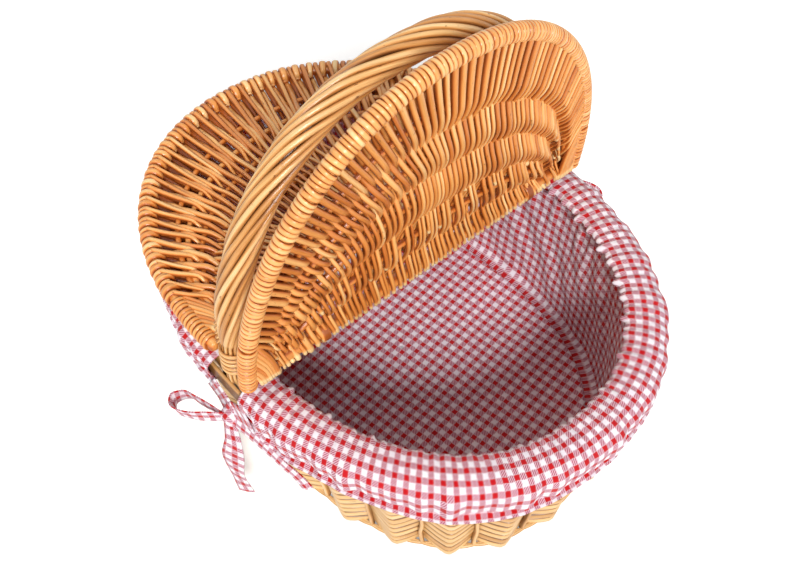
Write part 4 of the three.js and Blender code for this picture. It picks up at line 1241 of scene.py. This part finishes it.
def tie(name, flip):
    """A bow of one gingham strip: a loop, two ends, the straps from both flaps and the knot."""
    bow = Cloth()
    ribbon(bow, TIE_LOOP, (0, -0.25, 1), flip, (0.7, 1.05, 1.15, 1.1, 1.15, 1.1, 0.7), 0.5)
    ribbon(bow, TIE_FRONT_END, (1, 0.3, 0), flip, (0.8, 1.0, 1.3, 1.15, 1.0), 0.9)
    ribbon(bow, TIE_BACK_END, (0.3, 0.3, 0.9), flip, (0.6, 0.7, 0.6, 0.6, 0.7))
    for end in (-1, 1):
        strap = [(0, 0, 0), (end * 6.5, 2.6, 9), (end * 21, 2.6, 18)]
        ribbon(bow, strap, (0.8, 0, -0.6 * end), flip, (0.9, 1.5, 1.6))
    knot(bow, flip)
    piece = bow.piece(f"{name}_bow", name)


# Studio: a white floor, a white background and two soft lamps
FLOOR_HALF_SIZE = 12.0
FLOOR_DROP = 0.0003


def direction(azimuth_deg, elevation_deg):
    """The direction from the basket to something that stands round it."""
    azimuth, elevation = math.radians(azimuth_deg), math.radians(elevation_deg)
    level = math.cos(elevation)
    return Vector((math.sin(azimuth) * level, -math.cos(azimuth) * level, math.sin(elevation)))


def stand(name, data, back, roll_deg=0.0):
    """Puts a camera or lamp in the scene, looking against a direction."""
    holder = bpy.data.objects.new(name, data)
    bpy.context.scene.collection.objects.link(holder)
    holder.rotation_mode = "QUATERNION"
    roll = Quaternion((0, 0, 1), math.radians(roll_deg))
    holder.rotation_quaternion = (-back).to_track_quat("-Z", "Y") @ roll
    return holder


def place_camera():
    data = bpy.data.cameras.new("view")
    data.sensor_width = SENSOR_WIDTH
    data.lens = FOCAL_PIXELS * SENSOR_WIDTH / IMAGE_WIDTH
    data.clip_start = 0.05
    data.clip_end = 60
    back = direction(CAMERA_AZIMUTH_DEG, CAMERA_ELEVATION_DEG)
    camera = stand("view", data, back, CAMERA_ROLL_DEG)
    camera.location = (Vector(CAMERA_TARGET) + back * CAMERA_DISTANCE) * MM
    bpy.context.scene.camera = camera


def lamp(name, azimuth_deg, elevation_deg, strength, spread_deg, colour=(1, 1, 1)):
    """A far, soft lamp, named by where it stands round the basket."""
    light = bpy.data.lights.new(name, "SUN")
    light.energy = strength
    light.angle = math.radians(spread_deg)
    light.color = colour
    stand(name, light, direction(azimuth_deg, elevation_deg))


def floor():
    mesh = bpy.data.meshes.new("floor")
    half = FLOOR_HALF_SIZE
    corners = [(-half, -half, 0), (half, -half, 0), (half, half, 0), (-half, half, 0)]
    mesh.from_pydata(corners, [], [(0, 1, 2, 3)])
    plane = bpy.data.objects.new("floor", mesh)
    bpy.context.scene.collection.objects.link(plane)
    plane.location.z = -FLOOR_DROP
    material = bpy.data.materials.new("floor_white")
    n = Nodes(material)
    seen = n.add("ShaderNodeLightPath").outputs["Is Camera Ray"]
    n.set(Base_Color=(0.92, 0.92, 0.92, 1), Roughness=0.9, Emission_Color=(1, 1, 1, 1))
    n.set(Emission_Strength=n.math("MULTIPLY", seen, 0.35))
    mesh.materials.append(material)


def surround():
    """White where the camera or a reflection sees it, and dimmer as light."""
    world = bpy.data.worlds.new("surround")
    bpy.context.scene.world = world
    n = Nodes(world, "Background")
    n.set(Color=(1.0, 0.985, 0.97, 1), Strength=0.34)
    white = n.add("ShaderNodeBackground", [("Color", (1, 1, 1, 1)), ("Strength", 1.0)])
    rays = n.add("ShaderNodeLightPath").outputs
    seen = n.math("MAXIMUM", rays["Is Camera Ray"], rays["Is Glossy Ray"])
    inputs = [(0, seen), (1, n.shader.outputs[0]), (2, white.outputs[0])]
    mixed = n.add("ShaderNodeMixShader", inputs)
    n.put(n.tree.nodes["World Output"].inputs["Surface"], mixed.outputs[0])


place_camera()
surround()
floor()
lamp("key", 58, 38, 3.1, 14, (1.0, 0.97, 0.93))
lamp("top", 310, 66, 0.6, 40)

base_mat()
base_sticks()
foot_ring()
side_stakes()
side_weave()
hoop("rim_hoop_outer", HOOP_INSIDE + HOOP_THICKNESS / 2)
hoop("rim_hoop_inner", -HOOP_INSIDE - HOOP_THICKNESS / 2)
rim_cap("rim_cap_east", 0.0)
rim_cap("rim_cap_west", 0.5)
handle_core()
handle_rods()
handle_binding("handle_binding_near", -1)
handle_binding("handle_binding_far", 1)
cross_bar()
for end, side in (("east", 1), ("west", -1)):
    for letter, place in (("a", -LOOP_PLACE + LOOP_STAGGER), ("b", LOOP_PLACE + LOOP_STAGGER)):
        hinge_loop(f"hinge_loop_{end}_{letter}", side, side * place)
lid_frame_rods(EAST_LID)
lid_frame_rods(WEST_LID)
east_lid_rods()
west_lid_rods()
lining_bag()
lining_flap("lining_flap_east", 0.0)
lining_flap("lining_flap_west", 0.5)
tie("tie_near", np.array([1, 1, 1]))
tie("tie_far", np.array([-1, -1, 1]))

bpy.context.scene.view_settings.view_transform = "Standard"
